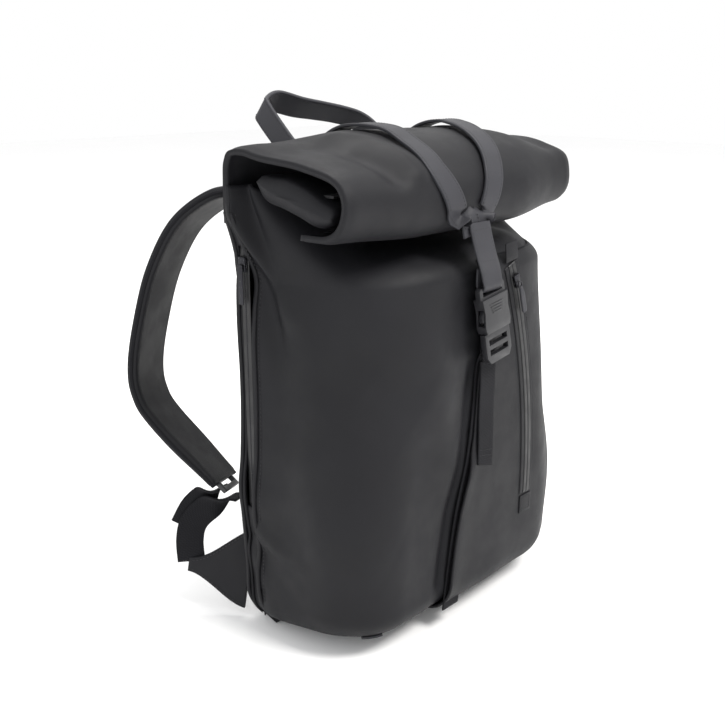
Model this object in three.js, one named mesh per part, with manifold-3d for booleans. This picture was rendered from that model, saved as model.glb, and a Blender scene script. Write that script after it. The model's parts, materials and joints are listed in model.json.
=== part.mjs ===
// Roll-top backpack: a hollow body of separate panels, a folded roof with a Y-shaped closing strap and
// side-release buckle, a front pocket and a side sleeve with zips, padded shoulder straps and a handle.
// Millimetres. +Z up, the front faces -Y, the origin is on the floor under the middle of the body.
import * as THREE from 'three';
import * as BufferGeometryUtils from 'three/addons/utils/BufferGeometryUtils.js';
import Module from 'manifold-3d';

const wasm = await Module();
wasm.setup();

// ---------------------------------------------------------------- driving dimensions
const gap = 0.3;                 // clearance between pieces that touch
const halfWidth = 155;           // body, outside
const backY = 62;                // outer face of the back panel
const frontY = -86;              // outer face of the front wall
const wall = 3;                  // padded leather wall
const frontCorner = 60;          // radius of the two front corners
const backCorner = 14;           // radius of the two back corners
const baseThickness = 3;
const shellTop = 356;            // top of the front wall, under the roof
const backTop = 398;             // top of the back panel
const gussetY = 36;              // the front wall ends here and the side strips begin
const zipWidth = 10;             // side zip tape

const roofHalf = 165;            // the folded roof overhangs the body
const roofDroop = 8;             // how much lower the roof's crest is at its ends
const sheet = 5;                 // two layers of leather in the roof
const strapWidth = 22;           // closing strap and webbing
const strapThickness = 2;
const armHalfSpread = 60;        // closing strap's arms on the crest

const buckleCentre = [-4, -99, 281];
const buckleTilt = THREE.MathUtils.degToRad(-5);
const buckleLean = THREE.MathUtils.degToRad(-8);   // its top towards the left

const frontZipRadius = 570;      // the front zip follows one wide arc
const frontZipLow = new THREE.Vector2(71, 98);
const frontZipLowAngle = THREE.MathUtils.degToRad(-1.4);
const frontZipHighAngle = THREE.MathUtils.degToRad(21.9);
const frontSliderAngle = THREE.MathUtils.degToRad(20.2);
const sideZipLow = 118;
const sideZipHigh = 348;

const handleHinge = [0, 73, 400];
const handleLean = THREE.MathUtils.degToRad(46);
const handleHalf = 58;
const handleReach = 76;
const handleWidth = 24;

const strapTop = [80, 68, 366];  // where a shoulder strap leaves the back, right side
const strapFoot = [148, 68, 32]; // where its lower end is sewn in, right side
const strapSplay = THREE.MathUtils.degToRad(30);
const padWidth = 60;
const padThickness = 10;

// ---------------------------------------------------------------- finishes
const finish = (color, roughness, metalness = 0) =>
  new THREE.MeshStandardMaterial({ color, roughness, metalness });
const leather = finish(0x2b2b2e, 0.62);
const liningCloth = finish(0x3a3a3d, 0.9);
const webbing = finish(0x26262a, 0.8);
const plastic = finish(0x202023, 0.45);
const board = finish(0x4a4a4c, 0.7);
const foam = finish(0x303034, 0.95);
const zipTape = finish(0x1f1f22, 0.75);
const zipMetal = finish(0x37373b, 0.35, 0.9);

// ---------------------------------------------------------------- helpers
const X = new THREE.Vector3(1, 0, 0);
const Y = new THREE.Vector3(0, 1, 0);
const Z = new THREE.Vector3(0, 0, 1);
const pack = new THREE.Group();

function add(name, geometry, material, parent = pack) {
  const mesh = new THREE.Mesh(geometry, material);
  mesh.name = name;
  parent.add(mesh);
  return mesh;
}

// An outline drawn in the plane of a and b, given thickness along a x b, from an origin.
function plate(shape, depth, a, b, origin = [0, 0, 0], steps = 1) {
  const geometry = new THREE.ExtrudeGeometry(shape, {
    depth, steps, bevelEnabled: false, curveSegments: 12,
  });
  const c = new THREE.Vector3().crossVectors(a, b);
  const matrix = new THREE.Matrix4().makeBasis(a, b, c).setPosition(...origin);
  return geometry.applyMatrix4(matrix);
}

// A box between two corners.
function box(low, high) {
  const size = high.map((value, axis) => value - low[axis]);
  const geometry = new THREE.BoxGeometry(...size);
  return geometry.translate(...low.map((value, axis) => value + size[axis] / 2));
}

function polygon(points) {
  return new THREE.Shape(points.map(([a, b]) => new THREE.Vector2(a, b)));
}

function rectangle(a0, b0, a1, b1) {
  return polygon([[a0, b0], [a1, b0], [a1, b1], [a0, b1]]);
}

// The outline of a strip that follows a smooth line, between two offsets to its left.
function strip(points, low, high, divisions = 24, from = 0, to = 1) {
  const curve = new THREE.CatmullRomCurve3(
    points.map(([a, b]) => new THREE.Vector3(a, b, 0)), false, 'centripetal');
  const side = (offset) => {
    const line = [];
    for (let i = 0; i <= divisions; i += 1) {
      const t = from + ((to - from) * i) / divisions;
      const point = curve.getPointAt(t);
      const tangent = curve.getTangentAt(t);
      line.push([point.x - tangent.y * offset, point.y + tangent.x * offset]);
    }
    return line;
  };
  return polygon([...side(low), ...side(high).reverse()]);
}

// Moves every vertex of a geometry by a function of its place.
function warp(geometry, move) {
  const position = geometry.getAttribute('position');
  const point = new THREE.Vector3();
  for (let i = 0; i < position.count; i += 1) {
    point.fromBufferAttribute(position, i);
    move(point);
    position.setXYZ(i, point.x, point.y, point.z);
  }
  return geometry;
}

function solid(geometry) {
  const bare = geometry.clone();
  bare.deleteAttribute('normal');
  bare.deleteAttribute('uv');
  const merged = BufferGeometryUtils.mergeVertices(bare, 1e-4);
  const index = merged.index
    ? Uint32Array.from(merged.index.array)
    : Uint32Array.from(Array(merged.getAttribute('position').count).keys());
  return new wasm.Manifold(new wasm.Mesh({
    numProp: 3,
    vertProperties: Float32Array.from(merged.getAttribute('position').array),
    triVerts: index,
  }));
}

function fromSolid(body) {
  const mesh = body.getMesh();
  const geometry = new THREE.BufferGeometry();
  geometry.setAttribute('position', new THREE.BufferAttribute(mesh.vertProperties, 3));
  geometry.setIndex(new THREE.BufferAttribute(mesh.triVerts, 1));
  geometry.computeVertexNormals();
  return geometry;
}

function cut(geometry, ...tools) {
  return fromSolid(tools.reduce((rest, tool) => rest.subtract(solid(tool)), solid(geometry)));
}

function join(first, ...others) {
  return fromSolid(others.reduce((sum, other) => sum.add(solid(other)), solid(first)));
}

// ---------------------------------------------------------------- body
// Outline of the body's section: round front corners, small back corners, inset by a distance.
function bodyOutline(inset) {
  const x = halfWidth - inset;
  const y0 = frontY + inset;
  const y1 = backY - inset;
  const front = frontCorner - inset;
  const back = backCorner - inset;
  const shape = new THREE.Shape();
  shape.moveTo(-x + front, y0);
  shape.lineTo(x - front, y0);
  shape.absarc(x - front, y0 + front, front, -Math.PI / 2, 0);
  shape.lineTo(x, y1 - back);
  shape.absarc(x - back, y1 - back, back, 0, Math.PI / 2);
  shape.lineTo(-x + back, y1);
  shape.absarc(-x + back, y1 - back, back, Math.PI / 2, Math.PI);
  shape.lineTo(-x, y0 + front);
  shape.absarc(-x + front, y0 + front, front, Math.PI, Math.PI * 1.5);
  return shape;
}

// The front wall's U-shaped section, open to the back.
function wallSection() {
  const x = halfWidth;
  const outer = frontCorner;
  const inner = frontCorner - wall;
  const centreY = frontY + frontCorner;
  const shape = new THREE.Shape();
  shape.moveTo(-x, gussetY);
  shape.lineTo(-x, centreY);
  shape.absarc(-x + outer, centreY, outer, Math.PI, Math.PI * 1.5);
  shape.lineTo(x - outer, frontY);
  shape.absarc(x - outer, centreY, outer, -Math.PI / 2, 0);
  shape.lineTo(x, gussetY);
  shape.lineTo(x - wall, gussetY);
  shape.lineTo(x - wall, centreY);
  shape.absarc(x - outer, centreY, inner, 0, -Math.PI / 2, true);
  shape.lineTo(-x + outer, frontY + wall);
  shape.absarc(-x + outer, centreY, inner, Math.PI * 1.5, Math.PI, true);
  shape.lineTo(-x + wall, gussetY);
  return shape;
}

// The front zip's band between two angles, of a given width, about the arc's centre.
const frontZipCentre = new THREE.Vector2(
  frontZipLow.x - frontZipRadius * Math.cos(frontZipLowAngle),
  frontZipLow.y - frontZipRadius * Math.sin(frontZipLowAngle));

function zipBand(width, low = frontZipLowAngle, high = frontZipHighAngle) {
  const shape = new THREE.Shape();
  const { x, y } = frontZipCentre;
  shape.absarc(x, y, frontZipRadius + width / 2, low, high);
  shape.absarc(x, y, frontZipRadius - width / 2, high, low, true);
  return shape;
}

const wallLow = baseThickness + gap;
add('base_panel', plate(bodyOutline(0), baseThickness, X, Y), leather);
add('base_board', plate(bodyOutline(wall + 1), 2, X, Y, [0, 0, baseThickness + gap]), board);

const zipSlotWidth = 3;
const zipSlot = plate(zipBand(zipSlotWidth), 12, X, Z, [0, frontY + wall + 4, 0]);
add('front_shell',
  cut(plate(wallSection(), shellTop - wallLow, X, Y, [0, 0, wallLow]), zipSlot), leather);

// A side strip from the front wall, or from the side zip, round the back corner.
function gusset(side, startY) {
  const outer = backCorner;
  const inner = backCorner - wall;
  const centreX = halfWidth - outer;
  const centreY = backY - outer;
  const shape = new THREE.Shape();
  shape.moveTo(halfWidth, startY);
  shape.lineTo(halfWidth, centreY);
  shape.absarc(centreX, centreY, outer, 0, Math.PI / 2);
  shape.lineTo(centreX, backY - wall);
  shape.absarc(centreX, centreY, inner, Math.PI / 2, 0, true);
  shape.lineTo(halfWidth - wall, startY);
  const geometry = plate(shape, shellTop - wallLow, X, Y, [0, 0, wallLow]);
  if (side > 0) return geometry;
  return turned(geometry);
}

// The same solid on the other side of the middle plane, with its faces still pointing out.
function turned(geometry) {
  return fromSolid(solid(geometry).mirror([1, 0, 0]));
}

const zipFrontY = gussetY + gap;
const zipRearY = zipFrontY + zipWidth;
add('left_gusset', gusset(-1, zipRearY + gap), leather);
add('right_gusset', gusset(1, gussetY + gap), leather);

// The strip of leather above and below the side zip shares the zip's place in the wall.
add('side_zip_foot',
  box([-halfWidth, zipFrontY, wallLow], [-halfWidth + wall, zipRearY, sideZipLow - gap]), leather);
const tapeX = -halfWidth + 1.4;
const sideTeeth = 3;
const tapeSection = polygon([
  [0, 0], [0, zipWidth], [-1.2, zipWidth], [-1.2, (zipWidth + sideTeeth) / 2],
  [-2.2, (zipWidth + sideTeeth) / 2], [-2.2, (zipWidth - sideTeeth) / 2],
  [-1.2, (zipWidth - sideTeeth) / 2], [-1.2, 0],
]);
add('side_zip_tape',
  plate(tapeSection, sideZipHigh - sideZipLow, X, Y, [tapeX + 1, zipFrontY, sideZipLow]), zipTape);

const sideSliderZ = 334;
const sideMiddleY = (zipFrontY + zipRearY) / 2;
const sideSliderX = tapeX - 1.2 - gap;
add('side_zip_slider', cut(
  box([sideSliderX - 3, sideMiddleY - 4, sideSliderZ - 7], [sideSliderX, sideMiddleY + 4, sideSliderZ + 5]),
  box([sideSliderX - 2, sideMiddleY - 5, sideSliderZ - 3.5],
    [sideSliderX - 1, sideMiddleY + 5, sideSliderZ - 1.5])), zipMetal);
add('side_zip_pull',
  box([sideSliderX - 5.1, sideMiddleY - 3, sideSliderZ - 34],
    [sideSliderX - 3.6, sideMiddleY + 3, sideSliderZ - 1]), zipMetal);

const panelHalf = halfWidth - backCorner - gap;
add('back_panel',
  box([-panelHalf, backY - wall, wallLow], [panelHalf, backY, backTop]), leather);
add('frame_sheet', box([-130, backY - 5.5, 8], [130, backY - wall - gap, 345]), board);

// Two long back pads with an air channel between them.
for (const side of [-1, 1]) {
  const shape = new THREE.Shape();
  shape.moveTo(8, 60);
  shape.quadraticCurveTo(8, 44, 24, 44);
  shape.lineTo(46, 44);
  shape.quadraticCurveTo(60, 44, 60, 60);
  shape.lineTo(60, 322);
  shape.quadraticCurveTo(60, 338, 46, 338);
  shape.lineTo(24, 338);
  shape.quadraticCurveTo(8, 338, 8, 322);
  const pad = plate(shape, 8, X, Z, [0, backY + gap + 8, 0]);
  add(side < 0 ? 'back_pad_left' : 'back_pad_right', side < 0 ? turned(pad) : pad, foam);
}

// The inner sleeve is a U-shaped pouch, open at the top, against the frame sheet.
const sleeveBack = backY - 6;
const sleeveSection = polygon([
  [-124, sleeveBack], [-124, 26], [124, 26], [124, sleeveBack], [122, sleeveBack],
  [122, 28], [-122, 28], [-122, sleeveBack],
]);
add('laptop_sleeve', plate(sleeveSection, 262, X, Y, [0, 0, 8]), liningCloth);

// The front pocket's bag hangs behind the front wall: two sheets joined at the foot.
const bagY = frontY + wall + gap;
const bagSection = polygon([
  [bagY, 60], [bagY + 16, 60], [bagY + 16, 340], [bagY + 14.5, 340], [bagY + 14.5, 61.5],
  [bagY + 1.5, 61.5], [bagY + 1.5, 340], [bagY, 340],
]);
add('pocket_bag', plate(bagSection, 84, Y, Z, [8, 0, 0]), liningCloth);

// ---------------------------------------------------------------- front overlap, pocket zip, webbing
const webbingY = frontY - gap - 1.5;
const overlapY = webbingY - gap;
const overlap = polygon([
  [-44, 12], [-24, 120], [-15, 205], [-13, 232], [14, 236], [14, 346], [92, 346], [92, 12],
]);
overlap.holes.push(zipBand(zipSlotWidth));
add('front_overlap', plate(overlap, 2, X, Z, [0, overlapY, 0]), leather);
add('lower_webbing',
  box([-strapWidth / 2, webbingY, 14], [strapWidth / 2, webbingY + 1.5, 262]), webbing);

const zipFaceY = overlapY - 2 - gap;
add('front_zip_tape', plate(zipBand(9), 1.2, X, Z, [0, zipFaceY, 0]), zipTape);

const zipTop = frontZipCentre.y + frontZipRadius * Math.sin(frontZipHighAngle);
add('zip_garage_tab',
  plate(polygon([[22, zipTop + 1], [40, zipTop + 4], [36, zipTop + 20], [20, zipTop + 18]]),
    1.2, X, Z, [0, zipFaceY, 0]), leather);
add('zip_end_tab', plate(rectangle(62, 78, 80, 96), 1.2, X, Z, [0, zipFaceY, 0]), leather);

// The slider and its pull are made upright at the origin and turned onto the arc.
const sliderFace = zipFaceY - 1.2 - gap;
const sliderPlace = new THREE.Group();
sliderPlace.position.set(
  frontZipCentre.x + frontZipRadius * Math.cos(frontSliderAngle), sliderFace,
  frontZipCentre.y + frontZipRadius * Math.sin(frontSliderAngle));
sliderPlace.rotation.y = -frontSliderAngle;
pack.add(sliderPlace);
add('front_zip_slider', cut(
  plate(polygon([[-4, 6], [-2.6, -6], [2.6, -6], [4, 6]]), 3, X, Z),
  box([-6, -2, -2], [6, -1, 0])), zipMetal, sliderPlace);
add('front_zip_pull', box([-2.6, -5.1, -30], [2.6, -3.6, 0]), webbing, sliderPlace);

// ---------------------------------------------------------------- buckle
const buckle = new THREE.Group();
buckle.position.set(...buckleCentre);
buckle.rotation.set(buckleTilt, buckleLean, 0, 'YXZ');
buckle.updateMatrixWorld();
pack.add(buckle);

const barLow = 30;               // crossbar of the female half, above the centre
const barHigh = 33;
const femaleFoot = -6;
const pocketHalf = 14.6;
const femaleOutline = polygon([
  [-16, femaleFoot], [16, femaleFoot], [17.5, 0], [15.8, 12], [17, 22], [17, barHigh - 2],
  [15, barHigh], [-15, barHigh], [-17, barHigh - 2], [-17, 22], [-15.8, 12], [-17.5, 0],
]);
add('buckle_female', cut(
  plate(femaleOutline, 10, X, Z, [0, 5, 0]),
  box([-pocketHalf, -3.3, femaleFoot - 1], [pocketHalf, 3.3, 20]),
  box([-20, -3.2, 1], [20, 3.2, 15]),
  box([-13, -6, 25.4], [13, 6, barLow]),
  box([-20, 2.5, 23.5], [20, 6, 40]),
  box([-20, -6, 23.5], [20, -2.5, 40])), plastic, buckle);

const maleTop = femaleFoot - 0.6;
const maleOutline = polygon([
  [-17, maleTop], [-17, -27], [-13, -33], [13, -33], [17, -27], [17, maleTop],
  [3, maleTop], [3, 14], [-3, 14], [-3, maleTop],
]);
add('buckle_male', cut(
  plate(maleOutline, 5.6, X, Z, [0, 2.8, 0]),
  box([-12.6, -5, -17], [12.6, 5, -12]),
  box([-12.6, -5, -26], [12.6, 5, -21])), plastic, buckle);

const prongOutline = polygon([
  [7.6, maleTop + gap], [12.6, maleTop + gap], [12.6, 3], [16.4, 4], [16, 9], [12.6, 14], [8.6, 14],
]);
for (const side of [-1, 1]) {
  const prong = plate(prongOutline, 4.8, X, Z, [0, 2.4, 0]);
  add(side < 0 ? 'buckle_prong_left' : 'buckle_prong_right', side < 0 ? turned(prong) : prong,
    plastic, buckle);
}

const tailTop = 246;
add('webbing_tail', plate(
  polygon([[-strapWidth / 2, 156], [strapWidth / 2, 148], [strapWidth / 2, tailTop],
    [-strapWidth / 2, tailTop]]),
  1.6, X, Z, [0, overlapY - 2 - 1, 0]), webbing);

// ---------------------------------------------------------------- roof
// Section of the roof, from its back wall over the crest and under the front fold.
const roofLine = [
  [52, 364], [52, 392], [42, 416], [14, 432], [-28, 432], [-64, 419], [-82, 399], [-84, 380],
  [-74, 366.5], [-50, 363.5], [-22, 366],
];
const roofFoot = 362;
const roofCrest = 436;

// The crest sinks towards the roof's ends.
function droop(point) {
  const height = Math.max(0, (point.z - roofFoot) / (roofCrest - roofFoot));
  point.z -= roofDroop * height * (point.x / roofHalf) ** 2;
}

function alongX(shape, from, to, steps = 1) {
  return plate(shape, to - from, Y, Z, [from, 0, 0], steps);
}

add('roof_sheet', warp(
  alongX(strip(roofLine, -sheet / 2, sheet / 2, 40), -roofHalf, roofHalf, 12), droop), leather);
const coreLine = [[12, 404], [-26, 407], [-58, 403], [-66, 394], [-58, 385], [-26, 382], [12, 384]];
add('roof_core', alongX(strip(coreLine, -2, 2, 20), -158, 158), leather);
add('roof_stiffener', box([-150, -56, 393], [150, -22, 395]), board);

// The two arms lie on the roof and close up towards the front.
const stemCentre = -10;
const armFront = -84;
const armCrest = -15;
const armClosed = strapWidth / 2 + 1;
function armPlace(side) {
  return (point) => {
    const t = THREE.MathUtils.clamp((point.y - armFront) / (armCrest - armFront), 0, 1);
    point.x += side * (armClosed + (armHalfSpread - armClosed) * t) + stemCentre * (1 - t);
    droop(point);
  };
}
const armLow = -(sheet / 2 + gap + strapThickness);
const armHigh = -(sheet / 2 + gap);
for (const side of [-1, 1]) {
  const arm = alongX(strip(roofLine, armLow, armHigh, 30, 0.06, 0.72), -strapWidth / 2, strapWidth / 2);
  add(side < 0 ? 'strap_arm_left' : 'strap_arm_right', warp(arm, armPlace(side)), leather);
}

// The stem hangs from the arms' meeting and is folded round the buckle's bar.
const stemHalf = strapWidth / 2 + 1.5;
const stemLine = [[-96.9, 317], [-96, 338], [-94.6, 362], [-93.6, 380]];
const loop = new THREE.Shape();
loop.moveTo(-4.8, barLow - 2);
loop.lineTo(-2.8, barLow - 4);
loop.lineTo(2.8, barLow - 4);
loop.lineTo(4.8, barLow - 2);
loop.lineTo(4.8, barHigh + 1);
loop.lineTo(1.6, barHigh + 6);
loop.lineTo(-1.6, barHigh + 6);
loop.lineTo(-4.8, barHigh + 1);
const barHole = new THREE.Path([[-3, barLow - 0.6], [-3, barHigh + 0.6], [3, barHigh + 0.6],
  [3, barLow - 0.6]].map(([a, b]) => new THREE.Vector2(a, b)));
loop.holes.push(barHole);
const loopGeometry = alongX(loop, -strapWidth / 2 - 1.2, strapWidth / 2 + 1.2);
loopGeometry.applyMatrix4(buckle.matrixWorld);
add('strap_stem', join(
  alongX(strip(stemLine, -1.2, 1.2, 12), stemCentre - stemHalf, stemCentre + stemHalf), loopGeometry), leather);

// ---------------------------------------------------------------- handle
const handle = new THREE.Group();
handle.position.set(...handleHinge);
pack.add(handle);
const up = new THREE.Vector3(0, Math.cos(handleLean), Math.sin(handleLean));
const handleCorner = 18;
function handleOutline(inset) {
  const x = handleHalf - inset;
  const top = handleReach - inset;
  const r = handleCorner - inset;
  return { x, top, r };
}
const handleThickness = 3.6;
const outerHandle = handleOutline(0);
const innerHandle = handleOutline(handleThickness);
const handleShape = new THREE.Shape();
handleShape.moveTo(-outerHandle.x, 5);
handleShape.lineTo(-innerHandle.x, 5);
handleShape.lineTo(-innerHandle.x, innerHandle.top - innerHandle.r);
handleShape.absarc(-innerHandle.x + innerHandle.r, innerHandle.top - innerHandle.r, innerHandle.r,
  Math.PI, Math.PI / 2, true);
handleShape.absarc(innerHandle.x - innerHandle.r, innerHandle.top - innerHandle.r, innerHandle.r,
  Math.PI / 2, 0, true);
handleShape.lineTo(innerHandle.x, 5);
handleShape.lineTo(outerHandle.x, 5);
handleShape.lineTo(outerHandle.x, outerHandle.top - outerHandle.r);
handleShape.absarc(outerHandle.x - outerHandle.r, outerHandle.top - outerHandle.r, outerHandle.r,
  0, Math.PI / 2);
handleShape.absarc(-outerHandle.x + outerHandle.r, outerHandle.top - outerHandle.r, outerHandle.r,
  Math.PI / 2, Math.PI);
const across = new THREE.Vector3().crossVectors(X, up).multiplyScalar(-handleWidth / 2);
add('carry_handle', plate(handleShape, handleWidth, X, up, across.toArray()), leather, handle);
add('handle_anchor', box([-72, backY + gap, 372], [72, backY + gap + 3, 396]), leather);

// A small ring of cord-like leather beside the handle's left foot.
const ring = new THREE.TorusGeometry(6, 1.4, 8, 20);
ring.applyMatrix4(new THREE.Matrix4().makeRotationX(Math.PI / 2));
ring.translate(-92, backY + 8, 392);
add('hang_ring', ring, leather);

// ---------------------------------------------------------------- shoulder straps
// Each strap is drawn in its own plane: p away from the back, q up the line between its two ends.
const padLine = [[32, 350], [56, 342], [82, 312], [104, 270], [115, 224], [117, 186], [110, 160],
  [92, 138], [45, 103]];
const adjusterPlace = [31, 92];
const adjusterAngle = Math.atan2(35, 47);
const wingOutline = polygon([[2, -26], [20, -22], [40, -12], [58, 2], [58, 12], [30, 27], [2, 44]]);

for (const [side, word] of [[-1, 'left'], [1, 'right']]) {
  const foot = new THREE.Vector3(side * strapFoot[0], strapFoot[1], strapFoot[2]);
  const top = new THREE.Vector3(side * strapTop[0], strapTop[1], strapTop[2]);
  const q = top.clone().sub(foot).normalize();
  const p = new THREE.Vector3(side * Math.sin(strapSplay), Math.cos(strapSplay), 0);
  p.addScaledVector(q, -p.dot(q)).normalize();
  const w = new THREE.Vector3().crossVectors(p, q);
  const strap = (shape, width) => {
    const start = foot.clone().addScaledVector(w, -width / 2);
    return plate(shape, width, p, q, start.toArray());
  };
  add(`${word}_strap_pad`, strap(strip(padLine, -padThickness / 2, padThickness / 2, 36), padWidth), foam);
  add(`${word}_top_webbing`, strap(strip([[9, 334], [14, 344], [30, 350.4]], -1, 1, 8), 26), webbing);

  const adjuster = new THREE.Group();
  const place = foot.clone().addScaledVector(p, adjusterPlace[0]).addScaledVector(q, adjusterPlace[1]);
  const along = p.clone().multiplyScalar(Math.cos(adjusterAngle));
  along.addScaledVector(q, Math.sin(adjusterAngle));
  const lift = new THREE.Vector3().crossVectors(w, along);
  const frame = rectangle(-16, -12, 16, 12);
  frame.holes.push(rectangle(-12.8, 3, 12.8, 8), rectangle(-12.8, -7, 12.8, -2));
  adjuster.position.copy(place);
  pack.add(adjuster);
  const frameStart = lift.clone().multiplyScalar(-2.2);
  add(`${word}_adjuster`, plate(frame, 4.4, w, along, frameStart.toArray()), plastic, adjuster);

  add(`${word}_lower_webbing`, strap(strip([[32, 80], [50, 62], [59, 40], [54, 16]], -0.8, 0.8, 10), 25),
    webbing);
  add(`${word}_wing`, strap(wingOutline, 4), leather);

  add(`${word}_top_anchor`, box(
    [Math.min(side * 66, side * 94), backY + gap, 344],
    [Math.max(side * 66, side * 94), backY + gap + 2, 368]), leather);
  if (side < 0) {
    add('left_webbing_end', strap(strip([[46, 84], [60, 68], [69, 40]], -0.8, 0.8, 10), 25), webbing);
  } else {
    const endLine = [[170, 84], [181, 62], [187, 30], [188, -8]];
    const end = plate(strip(endLine, -0.8, 0.8, 12), 25, X, Y, [0, 0, 98]);
    add('right_webbing_end', end, webbing);
  }
}

// ---------------------------------------------------------------- label
const labelPlace = new THREE.Group();
const labelAngle = THREE.MathUtils.degToRad(-30);
labelPlace.position.set(
  -halfWidth + frontCorner + (frontCorner + gap) * Math.sin(labelAngle),
  frontY + frontCorner - (frontCorner + gap) * Math.cos(labelAngle), 0);
labelPlace.rotation.z = labelAngle;
pack.add(labelPlace);
add('bottom_label', box([-11, -1.2, 4], [11, 0, 15]), leather, labelPlace);

export default pack;
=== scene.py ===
import json
import math

import bmesh
import bpy
from mathutils import Matrix, Vector, noise


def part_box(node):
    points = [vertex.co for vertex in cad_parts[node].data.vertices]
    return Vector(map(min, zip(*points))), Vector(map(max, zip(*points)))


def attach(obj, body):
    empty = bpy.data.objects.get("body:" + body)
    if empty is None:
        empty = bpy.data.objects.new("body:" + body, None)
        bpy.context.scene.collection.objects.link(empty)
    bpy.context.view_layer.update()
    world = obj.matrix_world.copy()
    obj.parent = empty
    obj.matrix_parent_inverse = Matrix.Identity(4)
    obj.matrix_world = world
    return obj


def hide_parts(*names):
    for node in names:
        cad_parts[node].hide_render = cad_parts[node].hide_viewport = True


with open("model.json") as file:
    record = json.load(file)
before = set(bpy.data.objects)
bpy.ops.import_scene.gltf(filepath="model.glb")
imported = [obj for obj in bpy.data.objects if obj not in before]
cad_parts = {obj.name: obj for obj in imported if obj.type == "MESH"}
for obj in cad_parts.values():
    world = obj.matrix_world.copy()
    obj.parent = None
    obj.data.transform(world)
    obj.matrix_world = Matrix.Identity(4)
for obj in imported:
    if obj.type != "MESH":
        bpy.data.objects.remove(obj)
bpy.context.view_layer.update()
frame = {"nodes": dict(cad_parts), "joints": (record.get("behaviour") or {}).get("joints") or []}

bl_info = {
    "name": "Roll-top Backpack",
    "version": (1, 0, 0),
    "blender": (4, 5, 0),
    "location": "View3D > Sidebar > Backpack",
    "description": "Makes the soft parts, hardware and finishes of a roll-top backpack around its frame",
    "category": "Add Mesh",
}

# ------------------------------------------------------------------ sizes taken from the frame (metres)
SHELL_LOW, SHELL_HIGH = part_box("front_shell")
BACK_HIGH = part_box("back_panel")[1]
BODY_HALF = SHELL_HIGH.x
FRONT_Y = SHELL_LOW.y
SEAM_Y = SHELL_HIGH.y
BACK_Y = BACK_HIGH.y
FRONT_CORNER = 0.060
BACK_CORNER = BODY_HALF - BACK_HIGH.x
WALL = 0.003
CURL = 0.030
CURL_EXTRA = CURL * (math.pi / 2 - 1)
LIFT = 0.015
NECK_Z = 0.320
NECK_RISE = 0.076
ZIP_STRIP = 0.010
OVERLAP_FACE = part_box("front_overlap")[0].y
ZIP_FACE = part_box("front_zip_tape")[0].y
ROOF_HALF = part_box("roof_sheet")[1].x
TAIL_LOW, TAIL_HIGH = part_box("webbing_tail")
JOINTS = {joint["name"]: joint for joint in frame["joints"]}
MM = 0.001


def srgb(red, green, blue):
    """A colour given by its display values, 0 to 255, as linear light."""
    parts = [value / 255 for value in (red, green, blue)]
    return tuple(p / 12.92 if p <= 0.04045 else ((p + 0.055) / 1.055) ** 2.4 for p in parts)


def smooth(low, high, value):
    t = min(max((value - low) / (high - low), 0.0), 1.0)
    return t * t * (3 - 2 * t)


def mix(a, b, t):
    return a + (b - a) * t


def hump(distance, width):
    """A soft bump that is 1 at no distance and fades over the width."""
    return math.exp(-((distance / width) ** 2))


# ------------------------------------------------------------------ properties
class BACKPACK_PG_sizes(bpy.types.PropertyGroup):
    strap_thickness: bpy.props.FloatProperty(
        name="Strap Thickness", description="Thickness of the closing strap's leather",
        default=0.0026, unit="LENGTH")
    webbing_thickness: bpy.props.FloatProperty(
        name="Webbing Thickness", description="Thickness of the flat webbing",
        default=0.0015, unit="LENGTH")
    stitch_length: bpy.props.FloatProperty(
        name="Stitch Length", description="Length of one visible stitch",
        default=0.0026, unit="LENGTH")
    stitch_pitch: bpy.props.FloatProperty(
        name="Stitch Pitch", description="Distance from one stitch to the next",
        default=0.0036, unit="LENGTH")
    overlap_lift: bpy.props.FloatProperty(
        name="Overlap Lift", description="How far the overlap's free edge stands off the front",
        default=0.0045, unit="LENGTH")
    sag: bpy.props.FloatProperty(
        name="Body Sag", description="Depth of the body's soft dents and bulges",
        default=0.007, unit="LENGTH")
    pad_thickness: bpy.props.FloatProperty(
        name="Pad Thickness", description="Thickness of a shoulder pad",
        default=0.0095, unit="LENGTH")


class BACKPACK_PG_finish(bpy.types.PropertyGroup):
    leather: bpy.props.FloatVectorProperty(
        name="Body Leather", description="Colour of the body's coated leather",
        default=srgb(23, 23, 26), size=3, subtype="COLOR", min=0, max=1)
    strap: bpy.props.FloatVectorProperty(
        name="Strap Leather", description="Colour of the closing strap and handle",
        default=srgb(50, 50, 54), size=3, subtype="COLOR", min=0, max=1)
    webbing: bpy.props.FloatVectorProperty(
        name="Webbing", description="Colour of the woven webbing",
        default=srgb(22, 22, 25), size=3, subtype="COLOR", min=0, max=1)
    plastic: bpy.props.FloatVectorProperty(
        name="Plastic", description="Colour of the buckle and adjusters",
        default=srgb(30, 30, 33), size=3, subtype="COLOR", min=0, max=1)
    lining: bpy.props.FloatVectorProperty(
        name="Lining", description="Colour of the cloth inside",
        default=srgb(74, 76, 82), size=3, subtype="COLOR", min=0, max=1)
    thread: bpy.props.FloatVectorProperty(
        name="Thread", description="Colour of the stitching",
        default=srgb(30, 30, 33), size=3, subtype="COLOR", min=0, max=1)


class BACKPACK_PG_stage(bpy.types.PropertyGroup):
    azimuth: bpy.props.FloatProperty(
        name="Azimuth", description="Where the camera stands round the bag",
        default=math.radians(-47), subtype="ANGLE")
    elevation: bpy.props.FloatProperty(
        name="Elevation", description="How far above level the camera stands",
        default=math.radians(17), subtype="ANGLE")
    distance: bpy.props.FloatProperty(
        name="Distance", description="From the camera to its aim", default=0.88, unit="LENGTH")
    aim: bpy.props.FloatVectorProperty(
        name="Aim", description="The point the camera looks at",
        default=(-0.028, 0.029, 0.224), size=3, subtype="TRANSLATION")
    lens: bpy.props.FloatProperty(
        name="Lens", description="Focal length on a 36 mm sensor, in millimetres", default=47.2)


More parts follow.
